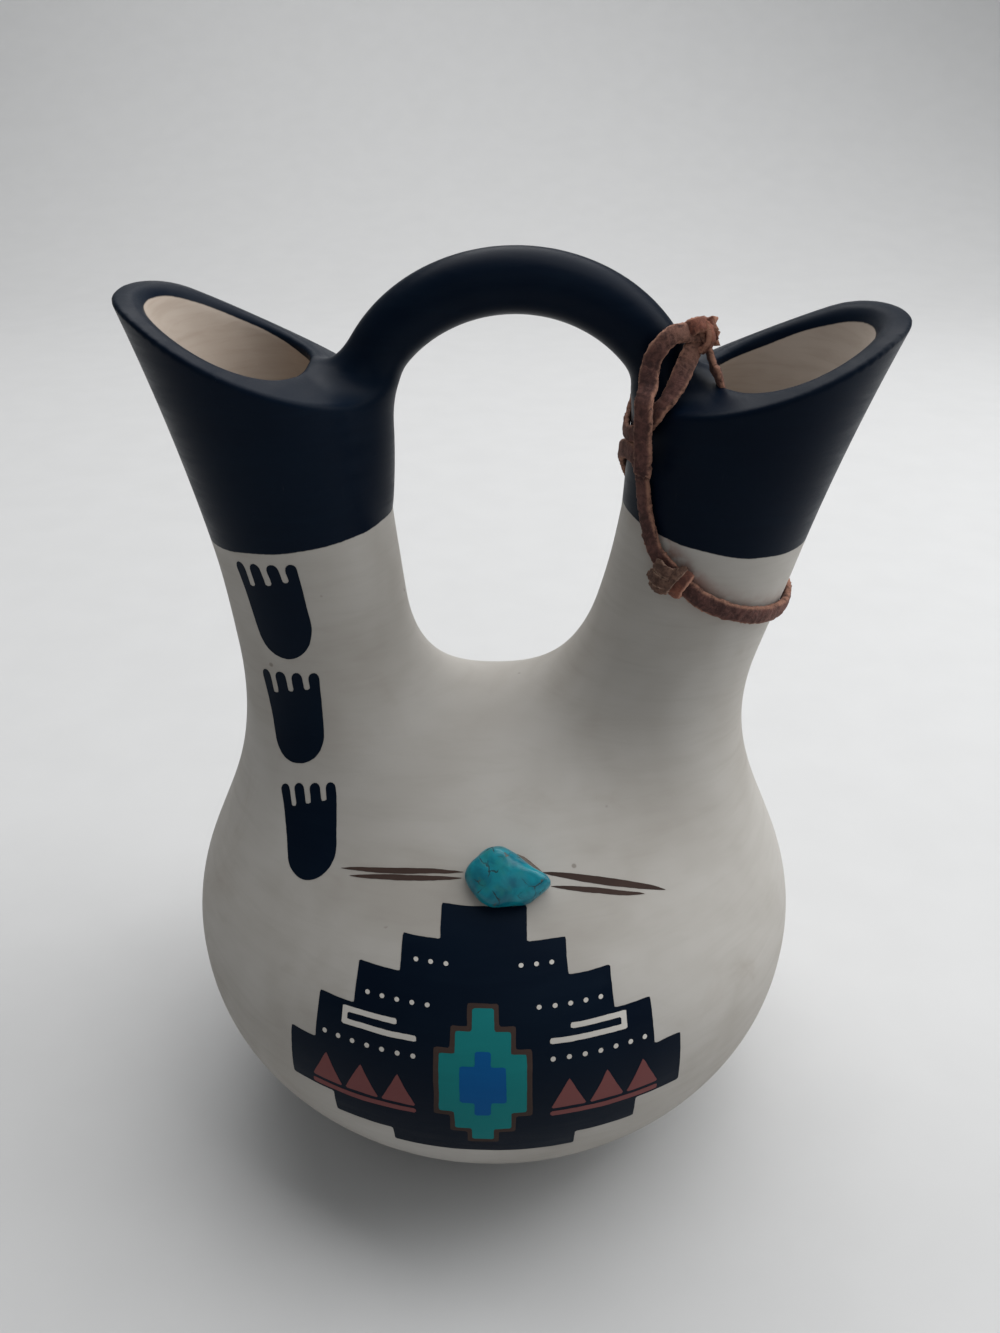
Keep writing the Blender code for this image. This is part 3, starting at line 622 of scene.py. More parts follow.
def paint_material(name, colour, deep, roughness=0.50, strokes=0.35):
    """Slip paint laid on with a brush."""
    made, tree, shader = new_material(name)
    place = own_place(tree)
    slip = use_group(
        tree, SLIP_GROUP, Place=place, Colour=colour, Deep_colour=deep, Clouds=0.6, Strokes=strokes, Roughness=roughness
    )
    wear = use_group(tree, WEAR_GROUP, Place=place, Amount=0.5)
    rubbed = mix(tree, maths(tree, "MULTIPLY", wear["Scratch"], 0.15), slip["Colour"], WHITE_SLIP[1])
    feed(tree, shader.inputs["Base Color"], rubbed)
    feed(tree, shader.inputs["Roughness"], slip["Roughness"])
    feed(tree, shader.inputs["Normal"], bump(tree, slip["Height"], 0.00008, 0.6))
    shader.inputs["Specular IOR Level"].default_value = SLIP_SPECULAR
    return finish_material(made)


def turquoise_material():
    """Polished turquoise: blue-green clouds, dark matrix veins and a few brown spots."""
    made, tree, shader = new_material("turquoise_stone")
    place = own_place(tree)
    cloudy = cloud(tree, place, 210.0, 4.0, 0.55, 0.6)
    blue = mix(tree, smooth_step(tree, cloudy, 0.30, 0.70), (0.002, 0.112, 0.165), (0.006, 0.230, 0.285))
    green = smooth_step(tree, cloud(tree, place, 330.0, 2.0, 0.5), 0.50, 0.78)
    stone = mix(tree, maths(tree, "MULTIPLY", green, 0.45), blue, (0.022, 0.220, 0.185))
    bent = add_node(tree, "ShaderNodeTexNoise", {"Vector": place, "Scale": 420.0, "Detail": 3.0}).outputs["Color"]
    shifted = add_node(
        tree, "ShaderNodeVectorMath", {0: bent, 1: (0.0022, 0.0022, 0.0022), 2: place}, operation="MULTIPLY_ADD"
    ).outputs[0]
    cells = add_node(
        tree, "ShaderNodeTexVoronoi", {"Vector": shifted, "Scale": 250.0}, feature="DISTANCE_TO_EDGE"
    ).outputs["Distance"]
    crack = maths(tree, "SUBTRACT", 1.0, smooth_step(tree, cells, 0.008, 0.040))
    broken = smooth_step(tree, cloud(tree, place, 260.0, 2.0), 0.46, 0.62)
    vein = maths(tree, "MULTIPLY", crack, broken)
    veined = mix(tree, maths(tree, "MULTIPLY", vein, 0.9), stone, (0.014, 0.020, 0.018))
    spot = smooth_step(tree, cloud(tree, place, 300.0, 3.0, 0.6, 0.5), 0.66, 0.72)
    feed(tree, shader.inputs["Base Color"], mix(tree, maths(tree, "MULTIPLY", spot, 0.8), veined, (0.095, 0.060, 0.032)))
    feed(tree, shader.inputs["Roughness"], maths(tree, "ADD", 0.30, maths(tree, "MULTIPLY", vein, 0.30)))
    dents = maths(tree, "SUBTRACT", cloudy, maths(tree, "MULTIPLY", vein, 0.35))
    feed(tree, shader.inputs["Normal"], bump(tree, dents, 0.00016, 0.7))
    shader.inputs["Specular IOR Level"].default_value = 0.25
    shader.inputs["Coat Weight"].default_value = 0.14
    shader.inputs["Coat Roughness"].default_value = 0.16
    return finish_material(made)


def resin_material():
    """Cured dark resin under the stone, with a little dust in it."""
    made, tree, shader = new_material("set_resin")
    place = own_place(tree)
    dust = smooth_step(tree, cloud(tree, place, 700.0, 3.0), 0.50, 0.80)
    feed(tree, shader.inputs["Base Color"], mix(tree, dust, (0.060, 0.036, 0.020), (0.150, 0.105, 0.070)))
    feed(tree, shader.inputs["Roughness"], maths(tree, "ADD", 0.28, maths(tree, "MULTIPLY", dust, 0.3)))
    return finish_material(made)


def suede_material(name, colour, dark, pale):
    made, tree, shader = new_material(name)
    nap = use_group(
        tree, NAP_GROUP, Place=own_place(tree), Edge=field_value(tree, "cut_edge"),
        Colour=colour, Dark_colour=dark, Pale_colour=pale,
    )
    feed(tree, shader.inputs["Base Color"], nap["Colour"])
    feed(tree, shader.inputs["Normal"], bump(tree, nap["Height"], 0.00035, 0.8))
    shader.inputs["Roughness"].default_value = 0.92
    shader.inputs["Sheen Weight"].default_value = 0.22
    shader.inputs["Sheen Roughness"].default_value = 0.45
    shader.inputs["Sheen Tint"].default_value = (0.80, 0.52, 0.42, 1)
    shader.inputs["Specular IOR Level"].default_value = 0.15
    return finish_material(made)


# Camera


def aim_camera():
    lens = bpy.data.cameras.new("camera")
    lens.sensor_width = SENSOR
    lens.lens = SENSOR * FOCAL_PIXELS / PHOTO_HEIGHT
    lens.clip_start = 0.01
    camera = bpy.data.objects.new("camera", lens)
    camera.location = CAMERA_PLACE
    camera.rotation_euler = (math.pi / 2 - CAMERA_PITCH, 0, 0)
    bpy.context.scene.collection.objects.link(camera)
    bpy.context.scene.camera = camera


# Suede lace


def smooth_curve(points, spacing):
    """A smooth curve through the points, read at an even spacing."""
    points = np.array(points, float)
    padded = np.vstack([2 * points[0] - points[1], points, 2 * points[-1] - points[-2]])
    fine = []
    for a, b, c, d in zip(padded, padded[1:], padded[2:], padded[3:]):
        for t in np.linspace(0, 1, 24, endpoint=False):
            fine.append(
                0.5 * (2 * b + (c - a) * t + (2 * a - 5 * b + 4 * c - d) * t**2 + (3 * b - a - 3 * c + d) * t**3)
            )
    fine.append(points[-1])
    fine = np.array(fine)
    run = np.concatenate([[0], np.cumsum(np.linalg.norm(np.diff(fine, axis=0), axis=1))])
    count = max(3, round(run[-1] / spacing) + 1)
    marks = np.linspace(0, run[-1], count)
    return np.stack([np.interp(marks, run, fine[:, axis]) for axis in range(3)], axis=1)


def route_points(route):
    """The route, pressed to its lift off the clay."""
    route = np.array(route)
    return pressed(route[:, :3] + [0, 0, ARCH_LEVEL], route[:, 3])


def neck_route_points():
    """The route round the neck, between its two ends in the lower knot."""
    places = []
    for turn, height in NECK_ROUTE:
        angle = math.radians(turn)
        level = ARCH_LEVEL + height
        axis = NECK_SPREAD + (level - SHOULDER_LEVEL) * math.tan(NECK_TILT)
        reach = NECK_RADIUS + LACE_LIFT
        places.append((axis + reach * math.cos(angle), -reach * math.sin(angle), level))
    return pressed(places, np.full(len(places), LACE_LIFT))


def steadied(directions, reach=6):
    """The directions along a line, each averaged with those beside it."""
    padded = np.pad(directions, ((reach, reach), (0, 0)), mode="edge")
    window = np.ones(2 * reach + 1) / (2 * reach + 1)
    return np.stack([np.convolve(padded[:, axis], window, mode="valid") for axis in range(3)], axis=1)


def strap(name, line, facing, finish, *nodes, width=LACE_WIDTH, thickness=LACE_THICKNESS, rub=0.0, ragged=0.0004):
    """A flat strap of suede along the line, its flat side towards facing, with a nap and rough cut ends.
    The line and what it faces are on the upright pot; the strap is leaned with it."""
    line = np.asarray(line, float)
    along = np.gradient(line, axis=0)
    along /= np.linalg.norm(along, axis=1)[:, None]
    out = steadied(facing)
    out -= (out * along).sum(1)[:, None] * along
    out /= np.linalg.norm(out, axis=1)[:, None]
    side = np.cross(along, out)
    width = np.broadcast_to(width, len(line))
    thickness = np.broadcast_to(thickness, len(line))
    rub = np.broadcast_to(rub, len(line))

    around = np.linspace(0, 2 * math.pi, LACE_CORNERS, endpoint=False)
    across = np.sign(np.cos(around)) * np.abs(np.cos(around)) ** 0.55
    proud = np.sign(np.sin(around)) * np.abs(np.sin(around)) ** 0.75
    vertices = []
    edges = []
    last = len(line) - 1
    for index, place in enumerate(line):
        drift = noise.noise(Vector(place) * 160 + Vector((7.0, 0.0, 0.0)))
        wide = width[index] / 2 * (1 + 0.10 * drift)
        thick = thickness[index] / 2 * (1 + 0.16 * noise.noise(Vector(place) * 210))
        end = (index == last) - (index == 0)
        for a, b in zip(across, proud):
            away = side[index] * a * wide + out[index] * b * thick
            point = place + away * (1 - 0.14 * abs(end))
            rough = noise.noise_vector(Vector(point) * 2300) * SUEDE_RIPPLE
            rough += noise.noise_vector(Vector(point) * 700) * SUEDE_RIPPLE
            hair = max(0.0, noise.noise(Vector(point) * NAP_FINENESS)) ** 2 * NAP_LENGTH
            tear = end * ragged * noise.noise(Vector(point) * 1500)
            vertices.append(point + np.array(rough) + away / np.linalg.norm(away) * hair + along[index] * tear)
            edges.append(min(1.0, max(rub[index], (abs(a) - 0.78) / 0.16)))
    count = len(around)
    faces = []
    for row in range(last):
        for i in range(count):
            k = (i + 1) % count
            faces.append((row * count + i, row * count + k, (row + 1) * count + k, (row + 1) * count + i))
    for start, flip in ((0, True), (last * count, False)):
        centre = len(vertices)
        vertices.append(np.mean(vertices[start : start + count], axis=0))
        edges.append(1.0)
        for i in range(count):
            k = (i + 1) % count
            one, other = (start + k, start + i) if flip else (start + i, start + k)
            faces.append((one, other, centre))
    mesh = mesh_of(name, leaned(np.array(vertices)), faces)
    bm = bmesh.new()
    bm.from_mesh(mesh)
    bmesh.ops.recalc_face_normals(bm, faces=bm.faces)
    bm.to_mesh(mesh)
    bm.free()
    set_field(mesh, "cut_edge", edges)
    return place_piece(name, mesh, finish, "suede", *nodes)


def knot_axes(centre, ahead):
    """Axes at a knot: along the lace that leaves it, out of the clay, and across."""
    out = outward(centre[None])[0]
    along = ahead - centre
    along -= out * np.dot(along, out)
    along /= np.linalg.norm(along)
    return along, out, np.cross(out, along)


def wrap_line(centre, along, out, across, tall, deep, skew):
    """A closed turn of lace round the strands of a knot, with its ends tucked under."""
    turns = np.linspace(math.radians(-70), math.radians(250), 26)
    points = [
        centre + across * tall * math.cos(a) + out * deep * math.sin(a) + along * skew * math.cos(a) for a in turns
    ]
    facing = [across * math.cos(a) / tall + out * math.sin(a) / deep for a in turns]
    facing = np.array(facing)
    return smooth_curve(points, LACE_STEP), facing


def wrap(name, centre, axes, finish, tall=0.0030, deep=0.0021, skew=0.0006, width=0.0028):
    along, out, across = axes
    line, facing = wrap_line(centre, along, out, across, tall, deep, skew)
    picks = np.linspace(0, len(facing) - 1, len(line))
    spread = np.stack([np.interp(picks, range(len(facing)), facing[:, axis]) for axis in range(3)], axis=1)
    return strap(name, line, spread, finish, width=width, thickness=0.0016)


def tail(name, centre, axes, steps, facing, finish, width=LACE_WIDTH, ragged=0.0005):
    """A short cut end of lace from a knot; each step is given along, out of and across the knot."""
    points = [centre + sum(axis * amount for axis, amount in zip(axes, step)) for step in steps]
    line = smooth_curve(points, LACE_STEP)
    towards = sum(axis * amount for axis, amount in zip(axes, facing))
    return strap(name, line, np.tile(towards, (len(line), 1)), finish, width=width, thickness=0.0017, ragged=ragged)


def tie_lower_knot(lower, worn, rust):
    """A squarish block of three folded ends side by side, with a rusty turn to its right."""
    axes = knot_axes(lower, lower + LOWER_KNOT_WAY)
    along, out, across = axes
    middle = lower - across * 0.0011
    fold = tail(
        "lower_knot_middle_end", middle, axes,
        [(0.0014, 0.0008, 0.0), (0.0004, 0.0029, 0.0), (-0.0014, 0.0032, -0.0001), (-0.0037, 0.0012, -0.0003)],
        (0.0, 1.0, 0.1), worn, 0.0024, 0.0010,
    )
    tail(
        "lower_knot_upper_end", middle, axes,
        [(0.0012, 0.0006, 0.0016), (0.0002, 0.0024, 0.0019), (-0.0014, 0.0025, 0.0020), (-0.0034, 0.0008, 0.0018)],
        (-0.1, 1.0, 0.6), worn, 0.0024, 0.0009,
    )
    tail(
        "lower_knot_under_end", middle, axes,
        [(0.0012, 0.0006, -0.0016), (0.0002, 0.0023, -0.0018), (-0.0010, 0.0023, -0.0022), (-0.0028, 0.0008, -0.0024)],
        (-0.1, 1.0, -0.6), worn, 0.0023, 0.0009,
    )
    wrap("lower_knot_turn", middle + along * 0.0010 + out * 0.0003, axes, worn, 0.0027, 0.0027, 0.0008, 0.0016)
    wrap("lower_knot_rusty_turn", middle + along * 0.0027 + out * 0.0002, axes, rust, 0.0023, 0.0020, 0.0004, 0.0026)
    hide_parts("lower_knot")


def tie_top_knot(top, mouth, rust):
    """A lump of two crossing turns with two short frayed ends."""
    axes = knot_axes(top, mouth[12])
    along, out, across = axes
    turn = wrap("top_knot_turn", top - along * 0.0006, axes, rust, 0.0028, 0.0020, 0.0008, 0.0030)
    pieces = [
        turn,
        wrap("top_knot_crossing", top + along * 0.0004, (across, out, along), rust, 0.0028, 0.0024, -0.0010, 0.0024),
        tail("top_knot_left_end", top, axes, [(-0.0004, 0.0006, 0.0), (-0.0004, 0.0020, 0.0004), (0.0002, 0.0034, 0.0006)],
             (-0.3, 0.2, -1.0), rust, 0.0030, 0.0014),
        tail("top_knot_right_end", top, axes, [(0.0006, 0.0004, 0.0), (0.0018, 0.0016, 0.0004), (0.0028, 0.0024, 0.0008)],
             (0.2, 0.3, -1.0), rust, 0.0028, 0.0012),
    ]
    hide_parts("top_knot")
    return pieces


def make_lace():
    """The lace's two free stretches and the two turns that the pot holds, then its knots."""
    brown = suede_material("reddish_suede", (0.125, 0.058, 0.050), (0.052, 0.027, 0.025), (0.330, 0.170, 0.118))
    rust = suede_material("rubbed_suede", (0.200, 0.075, 0.050), (0.090, 0.038, 0.030), (0.380, 0.190, 0.130))

    worn = suede_material("worn_suede", (0.150, 0.085, 0.062), (0.058, 0.033, 0.026), (0.330, 0.215, 0.160))

    lower = route_points([LOWER_KNOT])[0]
    riser = smooth_curve(route_points(RISER_ROUTE), LACE_STEP)[::-1]
    mouth = smooth_curve(route_points(MOUTH_ROUTE), LACE_STEP)
    neck = smooth_curve([lower, *neck_route_points(), lower], LACE_STEP)
    handle = smooth_curve(route_points(HANDLE_ROUTE), LACE_STEP)
    top = mouth[0]

    share = np.linspace(0, 1, len(handle))
    lifts = clay_distance(handle)
    lifts += (HANDLE_LIFT - lifts) * ease(0.26, 0.36, share) * (1 - ease(0.62, 0.72, share))
    handle = pressed(handle, lifts)
    riser_rub = RUBBED * (1 - ease(0.003, 0.012, np.linalg.norm(riser - top, axis=1)))
    handle_rub = RUBBED * (1 - ease(0.003, 0.012, np.linalg.norm(handle - top, axis=1)))

    riser_piece = strap(
        "hanging_strap", riser, outward(riser) + RISER_FACING, brown, "riser_lace",
        width=RISER_WIDTH, rub=riser_rub, ragged=0.0012,
    )
    mouth_facing = np.tile(MOUTH_FACING, (len(mouth), 1))
    mouth_piece = strap(
        "lace_in_mouth", mouth, mouth_facing, brown, "mouth_lace", width=0.0028, thickness=0.0013
    )
    share = np.linspace(0, 1, len(neck))
    neck_width = np.interp(share, [0, 0.60, 0.75, 1], [0.0038, 0.0036, 0.0038, 0.0036])
    neck_thickness = np.interp(share, [0, 0.40, 0.60, 1], [0.0018, 0.0018, 0.0014, 0.0014])
    strap("lace_round_neck", neck, outward(neck), brown, "neck_lace", width=neck_width, thickness=neck_thickness)
    handle_width = np.interp(np.linspace(0, 1, len(handle)), [0, 0.35, 0.45, 0.70, 1], [0.0037, 0.0036, 0.0028, 0.0028, 0.0036])
    strap(
        "lace_round_handle", handle, outward(handle), brown, "handle_lace",
        width=handle_width, thickness=0.0014, rub=handle_rub,
    )
    tie_lower_knot(lower, worn, rust)
    top_pieces = tie_top_knot(top, mouth, rust)

    knot_place = tuple(leaned(top[None])[0])
    [tuple(p) for p in leaned(riser)]
    [tuple(p) for p in leaned(mouth)]
    return neck, lower


# Clay skin


def surface_net(field, origin, spacing):
    """A skin of quads over the zero surface of a sampled field, with one corner in each cell it crosses."""
    cells = np.array(field.shape) - 1
    total = np.zeros((*cells, 3))
    count = np.zeros(cells)
    crossings = []
    for axis in range(3):
        one, two = (axis + 1) % 3, (axis + 2) % 3
        low = np.take(field, range(cells[axis]), axis)
        high = np.take(field, range(1, cells[axis] + 1), axis)
        edges = np.argwhere((low < 0) != (high < 0))
        whole = (edges[:, one] > 0) & (edges[:, one] < cells[one]) & (edges[:, two] > 0) & (edges[:, two] < cells[two])
        edges = edges[whole]
        a, b = low[tuple(edges.T)], high[tuple(edges.T)]
        points = edges.astype(float)
        points[:, axis] += a / (a - b)
        around = []
        for back_one, back_two in ((0, 0), (1, 0), (1, 1), (0, 1)):
            cell = edges.copy()
            cell[:, one] -= back_one
            cell[:, two] -= back_two
            np.add.at(total, tuple(cell.T), points)
            np.add.at(count, tuple(cell.T), 1)
            around.append(cell)
        crossings.append((around, a < 0))
    number = np.cumsum(count.ravel() > 0).reshape(cells) - 1
    vertices = origin + spacing * total[count > 0] / count[count > 0][:, None]
    quads = []
    for around, leaving in crossings:
        corners = np.stack([number[tuple(cell.T)] for cell in around], axis=1)
        quads.append(np.where(leaving[:, None], corners, corners[:, ::-1]))
    return vertices, np.vstack(quads)


def relaxed(vertices, quads, lifts, rounds):
    """The skin evened out and laid back on the clay after each round."""
    pairs = np.vstack([quads[:, [0, 1]], quads[:, [1, 2]], quads[:, [2, 3]], quads[:, [3, 0]]])
    count = np.bincount(pairs.ravel(), minlength=len(vertices))[:, None]
    for _ in range(rounds):
        total = np.zeros_like(vertices)
        for axis in range(3):
            total[:, axis] = np.bincount(pairs[:, 0], vertices[pairs[:, 1], axis], len(vertices))
            total[:, axis] += np.bincount(pairs[:, 1], vertices[pairs[:, 0], axis], len(vertices))
        vertices = pressed(vertices * 0.4 + total / count * 0.6, lifts, rounds=2)
    return vertices


def band_height(p):
    """How far a point lies above the lower edge of its spout's black band."""
    x = p[:, 0]
    level, slope, sag = np.where((x < 0)[:, None], LEFT_BAND, RIGHT_BAND).T
    out = np.abs(x) - BAND_X
    return p[:, 2] - (level + np.where(x < 0, -slope, slope) * out + sag * out**2)


def bare_depth(p):
    """Above zero where the mouth shows bare clay: inside the wall and below the black run-over."""
    inside = -body_distance(p) - WALL / 2
    depth = rim_level(p) - p[:, 2]
    out = np.abs(p[:, 0])
    left = LEFT_RUN_OVER + LEFT_RUN_OVER_WEB * (1 - ease(0.043, 0.050, out))
    return np.minimum(inside, depth - np.where(p[:, 0] < 0, left, RIGHT_RUN_OVER))


def lace_stain_and_shade(p, neck, lower):
    """How much reddish colour the lace leaves on the slip beside it: partly a real dye stain, partly painted shade and
    reddish reflected light from the lace; most just above its turn and near its knot.
    """
    stain_and_shade = np.zeros(len(p))
    near = np.flatnonzero((p[:, 0] > 0.015) & (p[:, 2] > neck[:, 2].min() - 0.004) & (p[:, 2] < neck[:, 2].max() + 0.007))
    apart = p[near][:, None] - neck[::4][None]
    reach = np.linalg.norm(apart, axis=2)
    closest = reach.argmin(axis=1)
    rows = np.arange(len(near))
    above = ease(-0.0015, 0.0015, apart[rows, closest, 2])
    beside = 1 - ease(0.0012, 0.0058, reach[rows, closest])
    knot_reach = np.linalg.norm(p[near] - lower, axis=1)
    stain_and_shade[near] = beside * (0.25 + 0.75 * above) * (0.35 + 0.65 * (1 - ease(0.003, 0.014, knot_reach)))
    return stain_and_shade


def finer_lips(vertices, quads):
    """The skin as a mesh, with its faces cut in four along the creases of both lips."""
    mesh = bpy.data.meshes.new("clay_skin")
    mesh.from_pydata(vertices, [], quads)
    below = np.abs(rim_level(vertices) - vertices[:, 2])
    crease = np.minimum(np.abs(body_distance(vertices)), np.abs(hollow_distance(vertices)))
    near = (below < LIP_REACH) & (crease < LIP_REACH) & (vertices[:, 2] > SHOULDER_LEVEL)
    bm = bmesh.new()
    bm.from_mesh(mesh)
    bm.verts.ensure_lookup_table()
    edges = [edge for edge in bm.edges if near[edge.verts[0].index] and near[edge.verts[1].index]]
    bmesh.ops.subdivide_edges(bm, edges=edges, cuts=1, use_grid_fill=True)
    bm.to_mesh(mesh)
    bm.free()
    return mesh


def make_clay(neck, lower):
    """One skin over belly, spouts and handle, with its lips, its hollow and its flat foot."""
    low = np.array([-0.080, -BELLY_RADIUS - SKIN_MARGIN, -SKIN_MARGIN])
    high = np.array([0.080, BELLY_RADIUS + SKIN_MARGIN, ARCH_LEVEL + ARCH_RISE + GRIP_RADIUS + 2 * SKIN_MARGIN])
    axes = [np.arange(a, b, SKIN_SPACING) for a, b in zip(low, high)]
    field = np.empty([len(axis) for axis in axes])
    for index, level in enumerate(axes[2]):
        x, y = np.meshgrid(axes[0], axes[1], indexing="ij")
        p = np.stack([x, y, np.full_like(x, level)], axis=-1)
        hidden = np.linalg.norm(p - [0, 0, BELLY_LEVEL], axis=-1) < BELLY_LEVEL / 2
        field[:, :, index] = np.where(hidden, WALL, clay_distance(p))
    vertices, quads = surface_net(field, low, SKIN_SPACING)
    vertices = relaxed(vertices, quads, np.zeros(len(vertices)), rounds=3)
    mesh = finer_lips(vertices, quads)
    vertices = np.array([vertex.co for vertex in mesh.vertices])
    vertices = pressed(vertices, np.zeros(len(vertices)), rounds=4)
    mesh.vertices.foreach_set("co", leaned(vertices).ravel())
    mesh.update()
    set_field(mesh, "band_height", band_height(vertices))
    set_field(mesh, "bare_depth", bare_depth(vertices))
    # Where the slip is tinted beside the lace: a dye stain together with painted shade and reflected light
    set_field(mesh, "lace_stain_and_shade", lace_stain_and_shade(vertices, neck, lower))
    return place_piece("clay_skin", mesh, clay_material(), "slip", "belly", "left_spout", "right_spout", "handle")


# Painted shapes


def on_belly(u, v, lift):
    """Points at these distances round and up the belly from its front, in metres along the surface."""
    tilt = v / BELLY_RADIUS
    turn = u / (BELLY_RADIUS * np.cos(tilt))
    ball = np.stack([np.sin(turn) * np.cos(tilt), -np.cos(turn) * np.cos(tilt), np.sin(tilt)], axis=1)
    return pressed(ball * BELLY_RADIUS + [0, 0, BELLY_LEVEL], np.full(len(u), lift))


def on_patch(centre, up_point):
    """A way to lay flat points on the clay round a centre, with v towards the upper point."""
    centre = pressed([centre], np.zeros(1))[0]
    out = outward(centre[None])[0]
    up = np.array(up_point) - centre
    up -= out * np.dot(up, out)
    up /= np.linalg.norm(up)
    side = np.cross(up, out)

    def lay(u, v, lift):
        points = centre + np.outer(u, side) + np.outer(v, up) + out * 0.001
        return pressed(points, np.full(len(u), lift))

    return lay


def softened(outline, radius):
    """The outline with each corner cut round."""
    points = np.array(outline, float)
    made = []
    for before, here, after in zip(np.roll(points, 1, 0), points, np.roll(points, -1, 0)):
        to_before, to_after = before - here, after - here
        reach = min(radius, 0.45 * np.linalg.norm(to_before), 0.45 * np.linalg.norm(to_after))
        start = here + to_before / np.linalg.norm(to_before) * reach
        end = here + to_after / np.linalg.norm(to_after) * reach
        for t in (0.0, 0.33, 0.67, 1.0):
            made.append((1 - t) ** 2 * start + 2 * t * (1 - t) * here + t**2 * end)
    return np.array(made)


def hand_drawn(outline, seed, waver=HAND_WAVER):
    """The outline read at even steps, with the small wander of a brush."""
    points = np.vstack([outline, outline[:1]])
    run = np.concatenate([[0], np.cumsum(np.linalg.norm(np.diff(points, axis=0), axis=1))])
    count = max(10, round(run[-1] / PAINT_STEP))
    marks = np.linspace(0, run[-1], count, endpoint=False)
    even = np.stack([np.interp(marks, run, points[:, axis]) for axis in range(2)], axis=1)
    for point in even:
        wander = noise.noise_vector(Vector((*point * 190, seed * 3.7)))
        tremble = noise.noise_vector(Vector((*point * 900, seed * 3.7)))
        point += np.array(wander[:2]) * waver + np.array(tremble[:2]) * waver * 0.35
    return even


def inside_outline(points, outline):
    """Which of the points lie inside the closed outline."""
    x, y = points.T
    inside = np.zeros(len(points), bool)
    for (ax, ay), (bx, by) in zip(outline, np.roll(outline, -1, 0)):
        crosses = (ay > y) != (by > y)
        at = ax + (y - ay) * (bx - ax) / np.where(by == ay, 1e-12, by - ay)
        inside ^= crosses & (x < at)
    return inside


def sharpen_rim(mesh):
    """Marks the open rim of a sheet sharp, so that a thin coat of paint shades flat to its edge."""
    bm = bmesh.new()
    bm.from_mesh(mesh)
    for edge in bm.edges:
        edge.smooth = not edge.is_boundary
    bm.to_mesh(mesh)
    bm.free()


def painted(name, outlines, lay, finish, slot, layer=0, seed=1, corner=0.0004, waver=HAND_WAVER):
    """A coat of paint inside the outlines, laid on the clay as a thin sheet."""
    vertices, faces = [], []
    for number, outline in enumerate(outlines):
        edge = hand_drawn(softened(outline, corner), seed + number, waver)
        low, high = edge.min(0), edge.max(0)
        grid = np.stack(
            np.meshgrid(np.arange(low[0], high[0], PAINT_GRID), np.arange(low[1], high[1], PAINT_GRID)), axis=-1
        ).reshape(-1, 2)
        keep = inside_outline(grid, edge)
        for point in edge[::2]:
            keep &= np.linalg.norm(grid - point, axis=1) > PAINT_STEP
        places = [Vector(p) for p in np.vstack([edge, grid[keep]])]
        loop = [list(range(len(edge)))]
        flat, _, sheet, _, _, _ = delaunay_2d_cdt(places, [], loop, 1, 1e-7)
        faces += [[len(vertices) + i for i in face] for face in sheet]
        vertices += [tuple(p) for p in flat]
    u, v = np.array(vertices).T
    points = leaned(lay(u, v, PAINT_LIFT + PAINT_LAYER * layer))
    mesh = mesh_of(name, points, faces)
    piece = place_piece(name, mesh, finish, slot)
    sharpen_rim(mesh)
    thick = piece.modifiers.new("coat", "SOLIDIFY")
    thick.thickness = PAINT_THICKNESS
    thick.offset = -1.0
    return piece


def stepped(levels):
    """A stepped outline, the same on both sides: half widths and the heights between which each holds."""
    right = []
    for half, low, high in levels:
        right += [(half, low), (half, high)]
    return right + [(-u, v) for u, v in reversed(right)]


def mirrored(outline):
    return [(-u, v) for u, v in outline]


def dot(u, v, radius):
    turns = np.linspace(0, 2 * math.pi, 12, endpoint=False)
    return [(u + radius * math.cos(a), v + radius * math.sin(a)) for a in turns]


def print_outline(width, length):
    """A four-toed print, toes up: a long rounded pad with three slots between the rounded toes."""
    half = width / 2
    slot = width * 0.095
    toe = (width - 3 * slot) / 4
    top = length / 2
    slot_depth = length * 0.25
    points = []
    x = -half
    for index in range(4):
        drop = 0.026 * length * index
        for angle in np.linspace(math.pi, 0, 7):
            points.append((x + toe / 2 + toe / 2 * math.cos(angle), top - drop - toe / 2 * (1 - math.sin(angle))))
        if index < 3:
            points += [(x + toe, top - slot_depth), (x + toe + slot, top - slot_depth)]
        x += toe + slot
    heel = -length / 2 + half
    turns = np.linspace(0, -math.pi, 14)
    return points + [(half * 0.90 * math.cos(a), heel + half * math.sin(a)) for a in turns]


def feather_line(length, width, bend):
    """A long thin stroke that tapers at both ends."""
    share = np.linspace(0, 1, 14)
    swell = width / 2 * np.sin(math.pi * share) ** 0.6
    middle = bend * np.sin(math.pi * share)
    upper = [(length * (s - 0.5), m + w) for s, m, w in zip(share, middle, swell)]
    lower = [(length * (s - 0.5), m - w) for s, m, w in zip(share, middle, swell)]
    return upper + lower[-2:0:-1]


def make_prints(black):
    """The column of three prints down the left neck and shoulder."""
    column = [
        ((-0.0459, -0.0180, 0.1303), (-0.0485, -0.0174, 0.1411), 0.0150, 0.0225),
        ((-0.0423, -0.0189, 0.1068), (-0.0438, -0.0160, 0.1169), 0.0142, 0.0205),
        ((-0.0385, -0.0308, 0.0862), (-0.0396, -0.0235, 0.0940), 0.0135, 0.0215),
    ]
    for number, (centre, above, width, length) in enumerate(column):
        lay = on_patch(centre, above)
        painted(f"print_{number + 1}", [print_outline(width, length)], lay, black, "black_slip", seed=20 + number)


